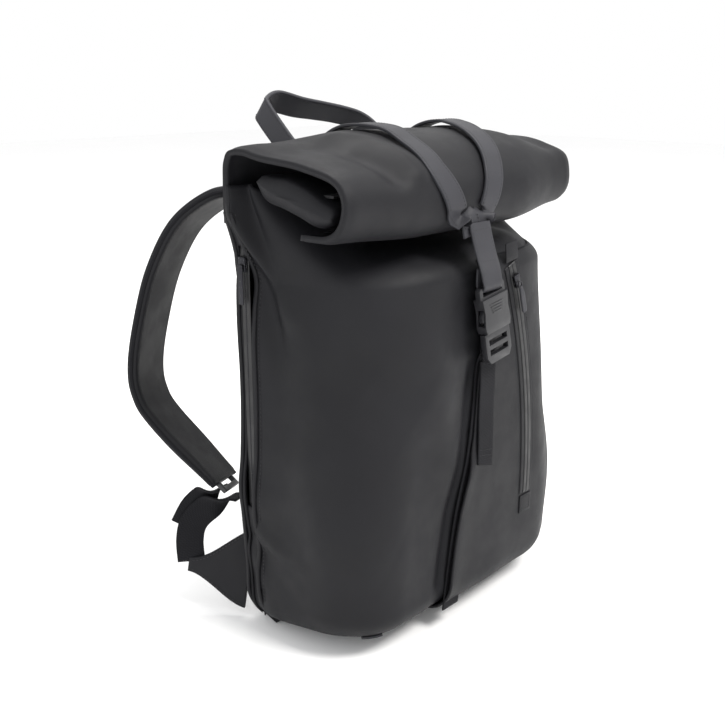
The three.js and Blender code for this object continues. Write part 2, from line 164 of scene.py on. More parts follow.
# ------------------------------------------------------------------ shader nodes
class Value:
    """A number socket that can be used in arithmetic. Each operator adds its Math node."""

    def __init__(self, shader, socket):
        self.shader = shader
        self.socket = socket

    def _math(self, operation, first, second=None):
        values = {0: first} if second is None else {0: first, 1: second}
        made = self.shader.node("ShaderNodeMath", {"operation": operation}, values)
        return Value(self.shader, made.outputs[0])

    def __add__(self, other):
        return self._math("ADD", self, other)

    def __sub__(self, other):
        return self._math("SUBTRACT", self, other)

    def __rsub__(self, other):
        return self._math("SUBTRACT", other, self)

    def __mul__(self, other):
        return self._math("MULTIPLY", self, other)

    __radd__ = __add__
    __rmul__ = __mul__

    def sine(self):
        return self._math("SINE", self)

    def above(self, edge):
        return self._math("GREATER_THAN", self, edge)


class Shader:
    """One material, made node by node around a Principled BSDF."""

    def __init__(self, name):
        self.material = bpy.data.materials.new(name)
        self.material.use_nodes = True
        self.tree = self.material.node_tree
        self.surface = self.tree.nodes["Principled BSDF"]
        self.place = self.node("ShaderNodeTexCoord", {}, {}).outputs["Object"]

    def node(self, kind, settings, inputs):
        made = self.tree.nodes.new(kind)
        for key, value in settings.items():
            setattr(made, key, value)
        for key, value in inputs.items():
            self.feed(made.inputs[key], value)
        return made

    def feed(self, socket, value):
        if isinstance(value, Value):
            value = value.socket
        if isinstance(value, bpy.types.NodeSocket):
            self.tree.links.new(value, socket)
        elif hasattr(value, "__len__") and len(value) == 3 and socket.type == "RGBA":
            socket.default_value = (*value, 1)
        else:
            socket.default_value = value

    def noise(self, scale, detail=2.0, roughness=0.5, stretch=None):
        place = self.place
        if stretch:
            place = self.node("ShaderNodeMapping", {}, {"Vector": place, "Scale": stretch}).outputs[0]
        made = self.node("ShaderNodeTexNoise", {}, {
            "Vector": place, "Scale": scale, "Detail": detail, "Roughness": roughness})
        return Value(self, made.outputs[0])

    def cells(self, scale, feature="DISTANCE_TO_EDGE"):
        made = self.node("ShaderNodeTexVoronoi", {"feature": feature}, {
            "Vector": self.place, "Scale": scale})
        return Value(self, made.outputs["Distance"])

    def along(self, layer="UVMap"):
        """The piece's own two directions, in metres along its surface."""
        made = self.node("ShaderNodeUVMap", {"uv_map": layer}, {})
        split = self.node("ShaderNodeSeparateXYZ", {}, {0: made.outputs[0]})
        return Value(self, split.outputs[0]), Value(self, split.outputs[1])

    def ramp(self, value, *stops):
        made = self.node("ShaderNodeMapRange", {"interpolation_type": "SMOOTHSTEP"}, {
            "Value": value, "From Min": stops[0], "From Max": stops[1],
            "To Min": stops[2], "To Max": stops[3]})
        return Value(self, made.outputs[0])

    def blend(self, factor, first, second):
        made = self.node("ShaderNodeMix", {"data_type": "RGBA"}, {0: factor, 6: first, 7: second})
        return made.outputs[2]

    def bump(self, height, strength, distance):
        made = self.node("ShaderNodeBump", {}, {
            "Height": height, "Strength": strength, "Distance": distance})
        self.feed(self.surface.inputs["Normal"], made.outputs[0])

    def set(self, **values):
        for key, value in values.items():
            self.feed(self.surface.inputs[key.replace("_", " ")], value)
        return self


def shade(colour, factor):
    return tuple(min(part * factor, 1.0) for part in colour)


def leather_finish(name, colour, roughness=0.56, grain=0.0011):
    """Matte coated leather: fine cells, soft colour variation and slightly shinier rubbed places."""
    made = Shader(name)
    cells = made.cells(1 / grain)
    pores = made.noise(2600, 2.0, 0.6)
    broad = made.noise(9, 3.0, 0.55)
    rubbed = made.noise(34, 4.0, 0.6)
    tone = broad * 0.7 + rubbed * 0.3
    made.set(
        Base_Color=made.blend(made.ramp(tone, 0.32, 0.68, 0.0, 1.0),
                              shade(colour, 0.82), shade(colour, 1.2)),
        Roughness=made.ramp(rubbed, 0.3, 0.7, roughness - 0.05, roughness + 0.07),
        Specular_IOR_Level=0.2)
    height = made.ramp(cells, 0.0, 0.12, 0.0, 1.0) * 0.55 + pores * 0.45 + rubbed * 0.6
    made.bump(height, 0.2, 0.00025)
    return made.material


def weave_finish(name, colour, rib=0.0016, yarn=0.0009, roughness=0.82):
    """Woven webbing: ribs across its width, yarns along it and fuzz."""
    made = Shader(name)
    across, along = made.along()
    warp = (across * (2 * math.pi / yarn)).sine()
    weft = (along * (2 * math.pi / rib)).sine()
    twill = ((across + along * 0.8) * (2 * math.pi / (2.6 * yarn))).sine()
    fuzz = made.noise(1800, 3.0, 0.7)
    broad = made.noise(40, 2.0, 0.5)
    weave = warp * 0.35 + weft * 0.35 + twill * 0.3
    tone = made.ramp(weave + broad * 0.8, -0.6, 1.2, 0.0, 1.0)
    made.set(Base_Color=made.blend(tone, shade(colour, 0.55), shade(colour, 1.45)),
             Roughness=roughness, Specular_IOR_Level=0.15, Sheen_Weight=0.02, Sheen_Roughness=0.45)
    made.bump(weave * 0.5 + fuzz * 0.4, 0.55, 0.0003)
    return made.material


def cloth_finish(name, colour, thread=0.0007):
    """Plain woven cloth for the lining, in the object's own directions."""
    made = Shader(name)
    split = made.node("ShaderNodeSeparateXYZ", {}, {0: made.place})
    x, y, z = (Value(made, split.outputs[i]) for i in range(3))
    turn = 2 * math.pi / thread
    weave = ((x + y) * turn).sine() * (z * turn).sine()
    slub = made.noise(60, 3.0, 0.6, (1, 1, 6))
    made.set(Base_Color=made.blend(made.ramp(weave + slub, -0.4, 1.4, 0.0, 1.0),
                                   shade(colour, 0.7), shade(colour, 1.25)),
             Roughness=0.9, Specular_IOR_Level=0.2, Sheen_Weight=0.1)
    made.bump(weave, 0.35, 0.0002)
    return made.material


def spacer_finish(name, colour, hole=0.0032):
    """Open spacer mesh, as on pads that lie against the back, with painted shade in its holes."""
    made = Shader(name)
    cells = made.cells(1 / hole, "F1")
    edge = made.ramp(cells, 0.25, 0.55, 0.0, 1.0)
    fine = made.noise(1500, 2.0, 0.6)
    # The holes are painted much darker than the strands: painted shade inside the openings. The same mask
    # gives the strands' bump height.
    made.set(Base_Color=made.blend(edge, shade(colour, 0.35), shade(colour, 1.15)),
             Roughness=0.88, Specular_IOR_Level=0.2, Sheen_Weight=0.12)
    made.bump(edge * 0.8 + fine * 0.2, 0.6, 0.0005)
    return made.material


def plastic_finish(name, colour, roughness=0.42):
    """Moulded plastic with a fine spark texture and faint rubbed spots."""
    made = Shader(name)
    spark = made.noise(1400, 2.0, 0.6)
    rubbed = made.noise(90, 3.0, 0.6)
    made.set(Base_Color=made.blend(rubbed, shade(colour, 0.85), shade(colour, 1.2)),
             Roughness=made.ramp(rubbed, 0.35, 0.65, roughness - 0.06, roughness + 0.06),
             Specular_IOR_Level=0.5)
    made.bump(spark, 0.12, 0.0002)
    return made.material


def metal_finish(name, colour, roughness=0.38):
    """Lacquered zinc: dark, a little worn to metal in small spots."""
    made = Shader(name)
    spots = made.noise(700, 3.0, 0.7)
    worn = made.ramp(spots, 0.62, 0.72, 0.0, 0.6)
    made.set(Base_Color=made.blend(worn, colour, srgb(150, 150, 152)), Metallic=0.85,
             Roughness=made.ramp(spots, 0.3, 0.7, roughness - 0.05, roughness + 0.1))
    made.bump(spots, 0.05, 0.0001)
    return made.material


def thread_finish(name, colour):
    """Twisted polyester thread."""
    made = Shader(name)
    twist = made.noise(2200, 1.0, 0.5)
    made.set(Base_Color=made.blend(twist, shade(colour, 0.7), shade(colour, 1.6)),
             Roughness=0.6, Specular_IOR_Level=0.4)
    made.bump(twist, 0.3, 0.0001)
    return made.material


def floor_finish(name):
    made = Shader(name)
    tone = made.noise(3, 2.0, 0.5)
    made.set(Base_Color=made.blend(tone, (0.95, 0.95, 0.952), (0.97, 0.97, 0.97)),
             Roughness=0.8, Specular_IOR_Level=0.2)
    return made.material


FINISHES = {}


def finishes():
    """Every material, made once and shared by the operators."""
    if FINISHES:
        return FINISHES
    colours = bpy.context.scene.backpack_finish
    leather = tuple(colours.leather)
    strap = tuple(colours.strap)
    webbing = tuple(colours.webbing)
    plastic = tuple(colours.plastic)
    FINISHES.update(
        body_leather=leather_finish("coated_leather", leather),
        strap_leather=leather_finish("strap_leather", strap, 0.5, 0.0009),
        edge=plastic_finish("painted_edge", shade(leather, 0.6), 0.5),
        webbing=weave_finish("webbing_weave", webbing),
        plastic=plastic_finish("moulded_plastic", plastic),
        lining=cloth_finish("lining_cloth", tuple(colours.lining)),
        board=plastic_finish("stiffener_sheet", srgb(34, 34, 36), 0.6),
        pad_cloth=spacer_finish("spacer_mesh", webbing),
        zip_tape=plastic_finish("coated_zip_tape", shade(leather, 0.55), 0.5),
        zip_metal=metal_finish("lacquered_zinc", srgb(48, 48, 52)),
        thread=thread_finish("thread", tuple(colours.thread)),
    )
    return FINISHES


# ------------------------------------------------------------------ mesh helpers
def close_mesh(bm):
    """Closes what is still open, and turns every face outwards."""
    rims = [edge for edge in bm.edges if edge.is_boundary]
    if rims:
        bmesh.ops.holes_fill(bm, edges=rims, sides=0)
    bmesh.ops.recalc_face_normals(bm, faces=bm.faces)


def sheet_mesh(columns, rows, place, size=(1.0, 1.0), wrap=False, closed=True):
    """A grid of faces moved into shape by place(u, v), with its UV map in metres.

    With wrap its two long edges are joined into a tube; closed fills its open ends."""
    bm = bmesh.new()
    layer = bm.loops.layers.uv.new("UVMap")
    bmesh.ops.create_grid(bm, x_segments=columns, y_segments=rows, size=0.5, calc_uvs=True)
    for face in bm.faces:
        for loop in face.loops:
            u, v = loop.vert.co.x + 0.5, loop.vert.co.y + 0.5
            loop[layer].uv = (u * size[0], v * size[1])
    for vert in bm.verts:
        vert.co = place(vert.co.x + 0.5, vert.co.y + 0.5)
    if wrap:
        bmesh.ops.remove_doubles(bm, verts=bm.verts, dist=1e-6)
    if closed:
        close_mesh(bm)
    return bm


def rounded_section(width, height, radius, across=8, corner=3):
    """Points round a rounded rectangle, starting at the middle of one long side."""
    radius = min(radius, width / 2 * 0.999, height / 2 * 0.999)
    x, y = width / 2 - radius, height / 2 - radius
    points = []
    for i in range(across):
        points.append((x * (2 * i / across - 1), -height / 2))
    for cx, cy, start in ((x, -y, -90), (x, y, 0)):
        for i in range(corner + 1):
            angle = math.radians(start + 90 * i / corner)
            points.append((cx + radius * math.cos(angle), cy + radius * math.sin(angle)))
    for i in range(1, across):
        points.append((x * (1 - 2 * i / across), height / 2))
    for cx, cy, start in ((-x, y, 90), (-x, -y, 180)):
        for i in range(corner + 1):
            if (cx, cy) == (-x, -y) and i == corner:
                continue
            angle = math.radians(start + 90 * i / corner)
            points.append((cx + radius * math.cos(angle), cy + radius * math.sin(angle)))
    return points


class Path:
    """A smooth line through a few points, walked by its length from 0 to 1."""

    def __init__(self, points, samples=240):
        points = [Vector(p) for p in points]
        ends = [points[0] * 2 - points[1], *points, points[-1] * 2 - points[-2]]
        spans = len(points) - 1
        rough = []
        for i in range(samples + 1):
            place = i / samples * spans
            k = min(int(place), spans - 1)
            rough.append(self._spline(ends[k:k + 4], place - k))
        self.length = sum((b - a).length for a, b in zip(rough, rough[1:]))
        self.points = self._even(rough, samples)

    def _even(self, rough, samples):
        """The same line as points that are the same distance apart."""
        step = self.length / samples
        made, walked, k = [rough[0]], 0.0, 0
        for i in range(1, samples):
            goal = i * step
            while walked + (rough[k + 1] - rough[k]).length < goal:
                walked += (rough[k + 1] - rough[k]).length
                k += 1
            span = (rough[k + 1] - rough[k]).length
            made.append(rough[k].lerp(rough[k + 1], (goal - walked) / span))
        return [*made, rough[-1]]

    @staticmethod
    def _spline(p, t):
        return 0.5 * (2 * p[1] + (p[2] - p[0]) * t + (2 * p[0] - 5 * p[1] + 4 * p[2] - p[3]) * t ** 2
                      + (3 * p[1] - p[0] - 3 * p[2] + p[3]) * t ** 3)

    def at(self, t):
        place = min(max(t, 0.0), 1.0) * (len(self.points) - 1)
        k = min(int(place), len(self.points) - 2)
        return self.points[k].lerp(self.points[k + 1], place - k)

    def heading(self, t):
        step = 0.006
        return (self.at(min(t + step, 1.0)) - self.at(max(t - step, 0.0))).normalized()


def band_mesh(path, across, width, thickness, rows, radius=None, columns=8, crown=0.0, ends=0.0):
    """A strap along a path. across(t) is its width's direction; width and thickness may be functions of t.

    crown swells the middle of both faces; ends is the share of its length over which it thins to a tip."""
    width_at = width if callable(width) else lambda t: width
    thick_at = thickness if callable(thickness) else lambda t: thickness
    count = len(rounded_section(1, 1, 0.1, columns))

    def place(u, v):
        w, h = width_at(v), thick_at(v)
        if ends:
            h *= math.sqrt(max(min(v, 1 - v) / ends, 0.04)) if min(v, 1 - v) < ends else 1.0
        section = rounded_section(w, h, radius if radius else h * 0.45, columns)
        a, b = section[round(u * count) % count]
        if crown:
            b *= 1 + crown * max(0.0, 1 - (2 * a / w) ** 2)
        side = across(v).normalized()
        up = path.heading(v).cross(side).normalized()
        return path.at(v) + side * a + up * b

    around = 2 * (width_at(0.5) + thick_at(0.5))
    return sheet_mesh(count, rows, place, (around, path.length), wrap=True)


def piece(bm, name, finish, body, stands_for=(), thickness=0.0):
    """Turns a mesh into a named piece that rides on a body of the frame.

    A thickness makes an open sheet into a closed one, inwards from its face."""
    mesh = bpy.data.meshes.new(name)
    bm.to_mesh(mesh)
    bm.free()
    made = bpy.data.objects.new(name, mesh)
    bpy.context.scene.collection.objects.link(made)
    mesh.materials.append(finishes()[finish])
    for polygon in mesh.polygons:
        polygon.use_smooth = True
    if thickness:
        solid = made.modifiers.new("thickness", "SOLIDIFY")
        solid.thickness = thickness
        solid.offset = -1
    if body:
        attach(made, body)
    if stands_for:
        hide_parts(*stands_for)
    return made


def join_into(target, other):
    """Adds one bmesh to another."""
    mesh = bpy.data.meshes.new("joining")
    other.to_mesh(mesh)
    other.free()
    target.from_mesh(mesh)
    bpy.data.meshes.remove(mesh)


def refine(node, name, finish, body, bevel=0.0006, segments=2, angle=30):
    """A copy of a hard node with its corners rounded, which stands for it."""
    bm = bmesh.new()
    bm.from_mesh(frame["nodes"][node].data)
    bmesh.ops.remove_doubles(bm, verts=bm.verts, dist=1e-5)
    bmesh.ops.dissolve_limit(bm, angle_limit=math.radians(2), verts=bm.verts, edges=bm.edges)
    bmesh.ops.recalc_face_normals(bm, faces=bm.faces)
    limit = math.radians(angle)
    sharp = [edge for edge in bm.edges
             if len(edge.link_faces) == 2 and edge.calc_face_angle() > limit]
    bmesh.ops.bevel(bm, geom=sharp, offset=bevel, segments=segments, profile=0.5,
                    affect="EDGES", clamp_overlap=True, material=-1)
    bmesh.ops.triangulate(bm, faces=[face for face in bm.faces if len(face.verts) > 4])
    made = piece(bm, name, finish, body, (node,))
    return soften(made)


def soften(made, angle=35):
    """Keeps edges sharper than the angle crisp in the shading."""
    made.data.set_sharp_from_angle(angle=math.radians(angle))
    return made


def stitches(name, rows, body, size=None):
    """Rows of thread. Each row is (path, up), where up(t) points out of the leather."""
    sizes = bpy.context.scene.backpack_sizes
    length = size or sizes.stitch_length
    pitch = sizes.stitch_pitch * length / sizes.stitch_length
    bm = bmesh.new()
    for path, up in rows:
        count = max(int(path.length / pitch), 1)
        for first in range(0, count, 24):
            some = bmesh.new()
            for i in range(first, min(first + 24, count)):
                t = (i + 0.5) / count
                forward = path.heading(t)
                out = up(t).normalized()
                side = out.cross(forward).normalized()
                turn = Matrix((forward, side, out)).transposed().to_4x4()
                scale = Matrix.Diagonal((length / 2, length * 0.15, length * 0.13, 1))
                bmesh.ops.create_uvsphere(some, u_segments=6, v_segments=4, radius=1.0,
                                          matrix=Matrix.Translation(path.at(t)) @ turn @ scale)
            join_into(bm, some)
    return piece(bm, name, "thread", body)


def frame_rows(low, high, y, facing, inset):
    """Four rows of stitches round a patch that lies at a depth y and faces to the back (1) or front (-1)."""
    corners = [(low.x + inset, low.z + inset), (high.x - inset, low.z + inset),
               (high.x - inset, high.z - inset), (low.x + inset, high.z - inset)]
    rows = []
    for a, b in zip(corners, corners[1:] + corners[:1]):
        ends = [Vector((mix(a[0], b[0], t), y, mix(a[1], b[1], t))) for t in (0, 0.5, 1)]
        rows.append((Path(ends), lambda t: Vector((0, facing, 0))))
    return rows


# ------------------------------------------------------------------ the body's walls
SIDE_START = BODY_HALF - FRONT_CORNER + FRONT_CORNER * math.pi / 2
SEAM_RUN = SIDE_START + SEAM_Y - (FRONT_Y + FRONT_CORNER)
BACK_ARC_START = SEAM_RUN + (BACK_Y - BACK_CORNER - SEAM_Y)
WALL_END = BACK_ARC_START + BACK_CORNER * math.pi / 2
TAPER = 0.013
TOP_CORNER = 0.100


def outline(run, z):
    """A point of the body's outline at a distance from the middle of the front, and its outward side.

    Towards the mouth the front corners grow rounder and the sides draw in."""
    side = -1 if run < 0 else 1
    d = abs(run)
    draw = smooth(0.10, 0.36, z)
    corner = mix(FRONT_CORNER, TOP_CORNER, draw)
    taper = TAPER * draw * (1 - smooth(SEAM_RUN - 0.045, BACK_ARC_START, d))
    half = BODY_HALF - taper
    straight = half - corner
    arc_end = straight + corner * math.pi / 2
    if d < straight:
        return Vector((side * d, FRONT_Y, 0)), Vector((0, -1, 0))
    if d < arc_end:
        angle = (d - straight) / corner
        out = Vector((side * math.sin(angle), -math.cos(angle), 0))
        return Vector((side * straight, FRONT_Y + corner, 0)) + out * corner, out
    if d < BACK_ARC_START:
        along = (d - arc_end) / (SEAM_RUN - arc_end)
        front = FRONT_Y + corner
        y = front + (SEAM_Y - front) * along if d < SEAM_RUN else SEAM_Y + d - SEAM_RUN
        return Vector((side * half, y, 0)), Vector((side, 0, 0))
    angle = (d - BACK_ARC_START) / BACK_CORNER
    out = Vector((side * math.cos(angle), math.sin(angle), 0))
    centre = Vector((side * (BODY_HALF - BACK_CORNER), BACK_Y - BACK_CORNER, 0))
    return centre + out * BACK_CORNER, out


def overlap_edge(z):
    """Where the overlap's free edge runs across the front, at a height."""
    stops = ((0.010, -0.046), (0.042, -0.042), (0.076, -0.037), (0.112, -0.030), (0.134, -0.024),
             (0.156, -0.017), (0.180, -0.012), (0.240, -0.008), (0.360, -0.006))
    for (z0, x0), (z1, x1) in zip(stops, stops[1:]):
        if z <= z1:
            return mix(x0, x1, min(max((z - z0) / (z1 - z0), 0.0), 1.0))
    return stops[-1][1]


def line_distance(run, z, a, b):
    """Distance from a point of the wall to a stretch between a and b, and how far along it lies."""
    ax, az, bx, bz = a[0], a[1], b[0], b[1]
    dx, dz = bx - ax, bz - az
    t = ((run - ax) * dx + (z - az) * dz) / (dx * dx + dz * dz)
    t = min(max(t, 0.0), 1.0)
    return math.hypot(run - ax - dx * t, z - az - dz * t), t


# Soft shapes of the wall: (start, end, depth in sags, width). Positive swells, negative dents.
WALL_FOLDS = (
    ((-0.252, 0.372), (-0.192, 0.293), 0.75, 0.011),
    ((-0.262, 0.345), (-0.205, 0.262), -0.9, 0.022),
    ((-0.215, 0.372), (-0.150, 0.300), -0.45, 0.020),
    ((-0.250, 0.098), (-0.196, 0.076), 0.40, 0.009),
    ((-0.262, 0.078), (-0.236, 0.026), 0.35, 0.008),
    ((-0.256, 0.086), (-0.215, 0.050), -0.35, 0.012),
    ((-0.120, 0.300), (-0.040, 0.250), 0.75, 0.030),
    ((-0.060, 0.250), (-0.034, 0.150), 0.70, 0.022),
    ((-0.130, 0.235), (-0.075, 0.190), -0.8, 0.034),
    ((-0.205, 0.215), (-0.165, 0.180), -0.6, 0.032),
    ((-0.150, 0.110), (-0.100, 0.085), 0.45, 0.040),
    ((0.150, 0.290), (0.205, 0.200), -0.5, 0.030),
    ((0.150, 0.110), (0.200, 0.050), 0.9, 0.045),
    ((-0.262, 0.140), (-0.236, 0.100), 0.5, 0.020),
)


def wall_relief(run, z):
    """How far the wall stands off its plain outline: puffing, folds and the channel beside the overlap."""
    sag = bpy.context.scene.backpack_sizes.sag
    out = 0.0
    for a, b, depth, width in WALL_FOLDS:
        distance, t = line_distance(run, z, a, b)
        if distance < 3 * width:
            out += depth * sag * hump(distance, width) * (0.45 + 0.55 * math.sin(math.pi * min(t + 0.25, 1)))
    soft = noise.noise(Vector((run * 14, z * 11, 3.1)))
    out += soft * sag * 0.35
    calm = 1 - hump(run - 0.045, 0.075) * smooth(0.02, 0.05, z)
    out *= calm if run > -0.03 else mix(calm, 1.0, smooth(-0.03, -0.08, run))
    edge = run - overlap_edge(z)
    channel = hump(edge + 0.007, 0.008) * smooth(0.016, 0.05, z) * (1 - smooth(0.225, 0.262, z))
    return out - 0.0042 * channel


def base_lift(y):
    """The base rises a little towards the front, where nothing inside weighs it down."""
    return LIFT * smooth(0.045, -0.060, y)


def wall_point(run, rise, off=0.0):
    """A point of the body's wall: run round the outline, rise up the wall, off outwards."""
    base, out = outline(run, rise)
    lift = CURL * math.pi / 2
    if rise < lift:
        turn = rise / CURL
        z = CURL * (1 - math.cos(turn))
        inset = CURL * (1 - math.sin(turn))
        face = out * math.sin(turn) - Vector((0, 0, math.cos(turn)))
        off += wall_relief(run, 0.03) * smooth(0.3, 1.4, turn)
        point = base - out * inset + Vector((0, 0, z)) + face * off * smooth(-0.2, 1, turn)
        point.z += base_lift(point.y) * (1 - z / 0.12)
        return point
    z = rise - CURL_EXTRA
    point = base + out * (wall_relief(run, min(max(z, 0.03), 0.385)) + off)
    if z <= NECK_Z:
        return Vector((point.x, point.y, z + base_lift(point.y) * max(1 - z / 0.12, 0)))
    t = min((z - NECK_Z) / NECK_RISE, 1.0)
    shelf = Vector((point.x, point.y, 0)) - out * 0.066 * (1 - math.cos(t * math.pi / 2))
    shelf.z = NECK_Z + 0.026 * math.sin(t * math.pi / 2)
    toward_back = t ** 1.5 * 0.75
    rear = BACK_Y - 0.012
    side_x = point.x * (1 + (0.07 if point.x < 0 else -0.10) * math.sin(t * math.pi * 0.62))
    side = Vector((side_x, mix(point.y, rear, toward_back * smooth(0.06, 0, abs(rear - point.y) * 0.3)), z))
    sideways = smooth(0.115, SIDE_START + 0.012, abs(run))
    return shelf.lerp(side, sideways)


WALL_RISE = CURL_EXTRA + NECK_Z + NECK_RISE
STRIP_RISE = 0.014                     # the side strips stop short of the middle of the base
LABEL_RUN = -0.127
POCKET_RIGHT = 0.118
POCKET_TOP = 0.290


def wall_sheet(run_low, run_high, rise_low, rise_high, columns, rows, off=0.0):
    """Part of the wall as an open sheet on the body's outline."""
    def place(u, v):
        return wall_point(mix(run_low, run_high, u), mix(rise_low, rise_high, v), off)
    size = (run_high - run_low, rise_high - rise_low)
    return sheet_mesh(columns, rows, place, size, closed=False)


class BACKPACK_OT_body(bpy.types.Operator):
    """Makes the front wall, the side strips and the base"""
    bl_idname = "backpack.body"
    bl_label = "Body"

    def execute(self, context):
        front = wall_sheet(-SEAM_RUN, SEAM_RUN, 0, WALL_RISE, 200, 130)
        piece(front, "front_wall_leather", "body_leather", "bag", stands_for=("front_shell",), thickness=WALL)
        rear_start = SEAM_RUN + ZIP_STRIP + 0.0006
        left = wall_sheet(-WALL_END, -rear_start, STRIP_RISE, WALL_RISE, 16, 110)
        piece(left, "left_side_strip", "body_leather", "bag", stands_for=("left_gusset",), thickness=WALL)
        right = wall_sheet(SEAM_RUN + 0.0003, WALL_END, STRIP_RISE, WALL_RISE, 18, 110)
        piece(right, "right_side_strip", "body_leather", "bag", stands_for=("right_gusset",), thickness=WALL)
        self.welts()
        self.base()
        return {"FINISHED"}

    def welts(self):
        """Raised ribs along the side seams, with a row of stitches beside each."""
        ribs = bmesh.new()
        rows = []
        for side in (-1, 1):
            low, high = (0.020, 0.392)
            for run in (SEAM_RUN - 0.002, SEAM_RUN + ZIP_STRIP + 0.0045):
                path = Path([wall_point(side * run, mix(low, high, i / 14), 0.0006) for i in range(15)])
                across = self.direction(side, run)
                join_into(ribs, band_mesh(path, across, 0.0042, 0.0030, 90, columns=4, ends=0.02))
            run = SEAM_RUN - 0.0075
            path = Path([wall_point(side * run, mix(low, high, i / 14), 0.0002) for i in range(15)])
            rows.append((path, self.outward(side, run)))
        piece(ribs, "side_welts", "body_leather", "bag")
        stitches("side_stitches", rows, "bag")

    @staticmethod
    def direction(side, run):
        ahead = wall_point(side * (run + 0.002), 0.2) - wall_point(side * (run - 0.002), 0.2)
        return lambda t: ahead

    @staticmethod
    def outward(side, run):
        out = outline(side * run, 0.2)[1]
        return lambda t: out

    def base(self):
        """The base panel and the board on it, cut to the outline inside the wall's curl."""
        for name, finish, node, inset, height, thickness in (
                ("base_leather", "body_leather", "base_panel", CURL - 0.002, 0.0030, 0.0026),
                ("base_stiffener", "board", "base_board", CURL + 0.002, 0.0056, 0.0018)):
            def place(u, v, inset=inset, height=height):
                point, out = outline(mix(-WALL_END, WALL_END, u), 0.0)
                inner = (point - out * inset) * v + Vector((0, -0.012, 0)) * (1 - v)
                return Vector((inner.x, inner.y, height + base_lift(inner.y)))
            bm = sheet_mesh(96, 12, place, (0.8, 0.15), closed=False)
            bmesh.ops.remove_doubles(bm, verts=bm.verts, dist=1e-5)
            bmesh.ops.recalc_face_normals(bm, faces=bm.faces)
            bm.faces.ensure_lookup_table()
            if bm.faces[0].normal.z > 0:
                bmesh.ops.reverse_faces(bm, faces=bm.faces)
            piece(bm, name, finish, "bag", stands_for=(node,), thickness=thickness)


# ------------------------------------------------------------------ the roof
def section(*points):
    """A section across the bag, given in millimetres, as a path."""
    return Path([(0, y * MM, z * MM) for y, z in points])


ROOF_SECTION = section((52, 364), (52, 392), (42, 416), (14, 432), (-28, 432), (-64, 419), (-82, 399),
                       (-84, 378), (-75, 362), (-50, 357), (-22, 361))
LEFT_SECTION = section((52, 366), (52, 396), (50, 415), (39, 424), (2, 420), (-38, 416), (-71, 409),
                       (-82, 394), (-78, 375), (-64, 364), (-36, 362))
RIGHT_SECTION = section((38, 374), (42, 392), (34, 408), (8, 419), (-25, 420), (-56, 413), (-68, 403),
                        (-70, 382), (-61, 368), (-40, 364), (-22, 366))
RIGHT_TIP = 0.150


def roof_point(x, s, off=0.0):
    """A point of the folded roof: x across the bag, s along its section from the back wall, off outwards."""
    left = smooth(-0.070, -ROOF_HALF, x)
    right = smooth(0.050, ROOF_HALF, x)
    base = ROOF_SECTION.at(s).lerp(LEFT_SECTION.at(s), left).lerp(RIGHT_SECTION.at(s), right)
    heading = ROOF_SECTION.heading(s).lerp(LEFT_SECTION.heading(s), left)
    heading = heading.lerp(RIGHT_SECTION.heading(s), right).normalized()
    out = Vector((0, heading.z, -heading.y))
    point = base + out * (off + roof_relief(x, s))
    point.x = x * RIGHT_TIP / ROOF_HALF if x > 0 else x
    rim = smooth(ROOF_HALF - 0.012, ROOF_HALF, abs(x))
    return point - out * 0.0022 * rim ** 2


ROOF_FOLDS = (
    ((-0.128, 0.42), (-0.108, 0.66), -0.0045, 0.011),
    ((-0.100, 0.40), (-0.082, 0.64), 0.0035, 0.012),
    ((-0.060, 0.52), (-0.045, 0.68), -0.0022, 0.014),
    ((-0.150, 0.30), (-0.120, 0.50), 0.0025, 0.014),
    ((0.020, 0.30), (0.060, 0.50), -0.0018, 0.022),
    ((0.100, 0.34), (0.140, 0.56), -0.0024, 0.016),
)
ROOF_RUN = 0.36


def roof_relief(x, s):
    """Soft dents and ridges of the roof's leather."""
    out = 0.0
    for a, b, depth, width in ROOF_FOLDS:
        distance, t = line_distance(x, s * ROOF_RUN, (a[0], a[1] * ROOF_RUN), (b[0], b[1] * ROOF_RUN))
        out += depth * hump(distance, width)
    calm = smooth(0.02, 0.12, s) * (1 - smooth(0.68, 0.8, s))
    return (out + 0.0012 * noise.noise(Vector((x * 22, s * 7, 1.7)))) * calm


class BACKPACK_OT_roof(bpy.types.Operator):
    """Makes the folded roof and the rolled mouth inside it"""
    bl_idname = "backpack.roof"
    bl_label = "Roof"

    def execute(self, context):
        def place(u, v):
            return roof_point(mix(ROOF_HALF, -ROOF_HALF, u), v, 0.0023)
        bm = sheet_mesh(110, 120, place, (2 * ROOF_HALF, ROOF_RUN), closed=False)
        piece(bm, "roof_leather", "body_leather", "bag", stands_for=("roof_sheet",), thickness=0.0046)
        self.core()
        return {"FINISHED"}

    def core(self):
        """The rolled mouth: a flat roll whose end shows as a rounded fold at the left."""
        left, right = -0.161, 0.143
        start, end = Vector((0, 0.016, 0.4005)), Vector((0, -0.0640, 0.3795))
        axis = (end - start).normalized()
        up = Vector((0, -axis.z, axis.y)) * -1

        def place(u, v):
            x = mix(left, right, u)
            angle = 2 * math.pi * v
            near = min(x - left, right - x)
            tip = math.sqrt(max(1 - (max(0.006 - near, 0) / 0.006) ** 2, 0.02))
            slim = smooth(0.02, right, x)
            long = (end - start).length / 2 * (1 - 0.2 * slim)
            thick = mix(0.0115, 0.007, slim) * tip
            c, s = math.cos(angle), math.sin(angle)
            point = (start + end) / 2
            point += axis * long * math.copysign(abs(c) ** 0.75, c)
            point += up * thick * math.copysign(abs(s) ** 0.6, s)
            point += up * 0.0016 * math.sin(c * 5 + x * 30)
            point.x = x - 0.004 * (1 - abs(c))
            return point
        bm = sheet_mesh(90, 40, place, (right - left, 0.25), closed=False)
        bmesh.ops.remove_doubles(bm, verts=bm.verts, dist=1e-6)
        close_mesh(bm)
        piece(bm, "rolled_mouth", "body_leather", "bag", stands_for=("roof_core",))


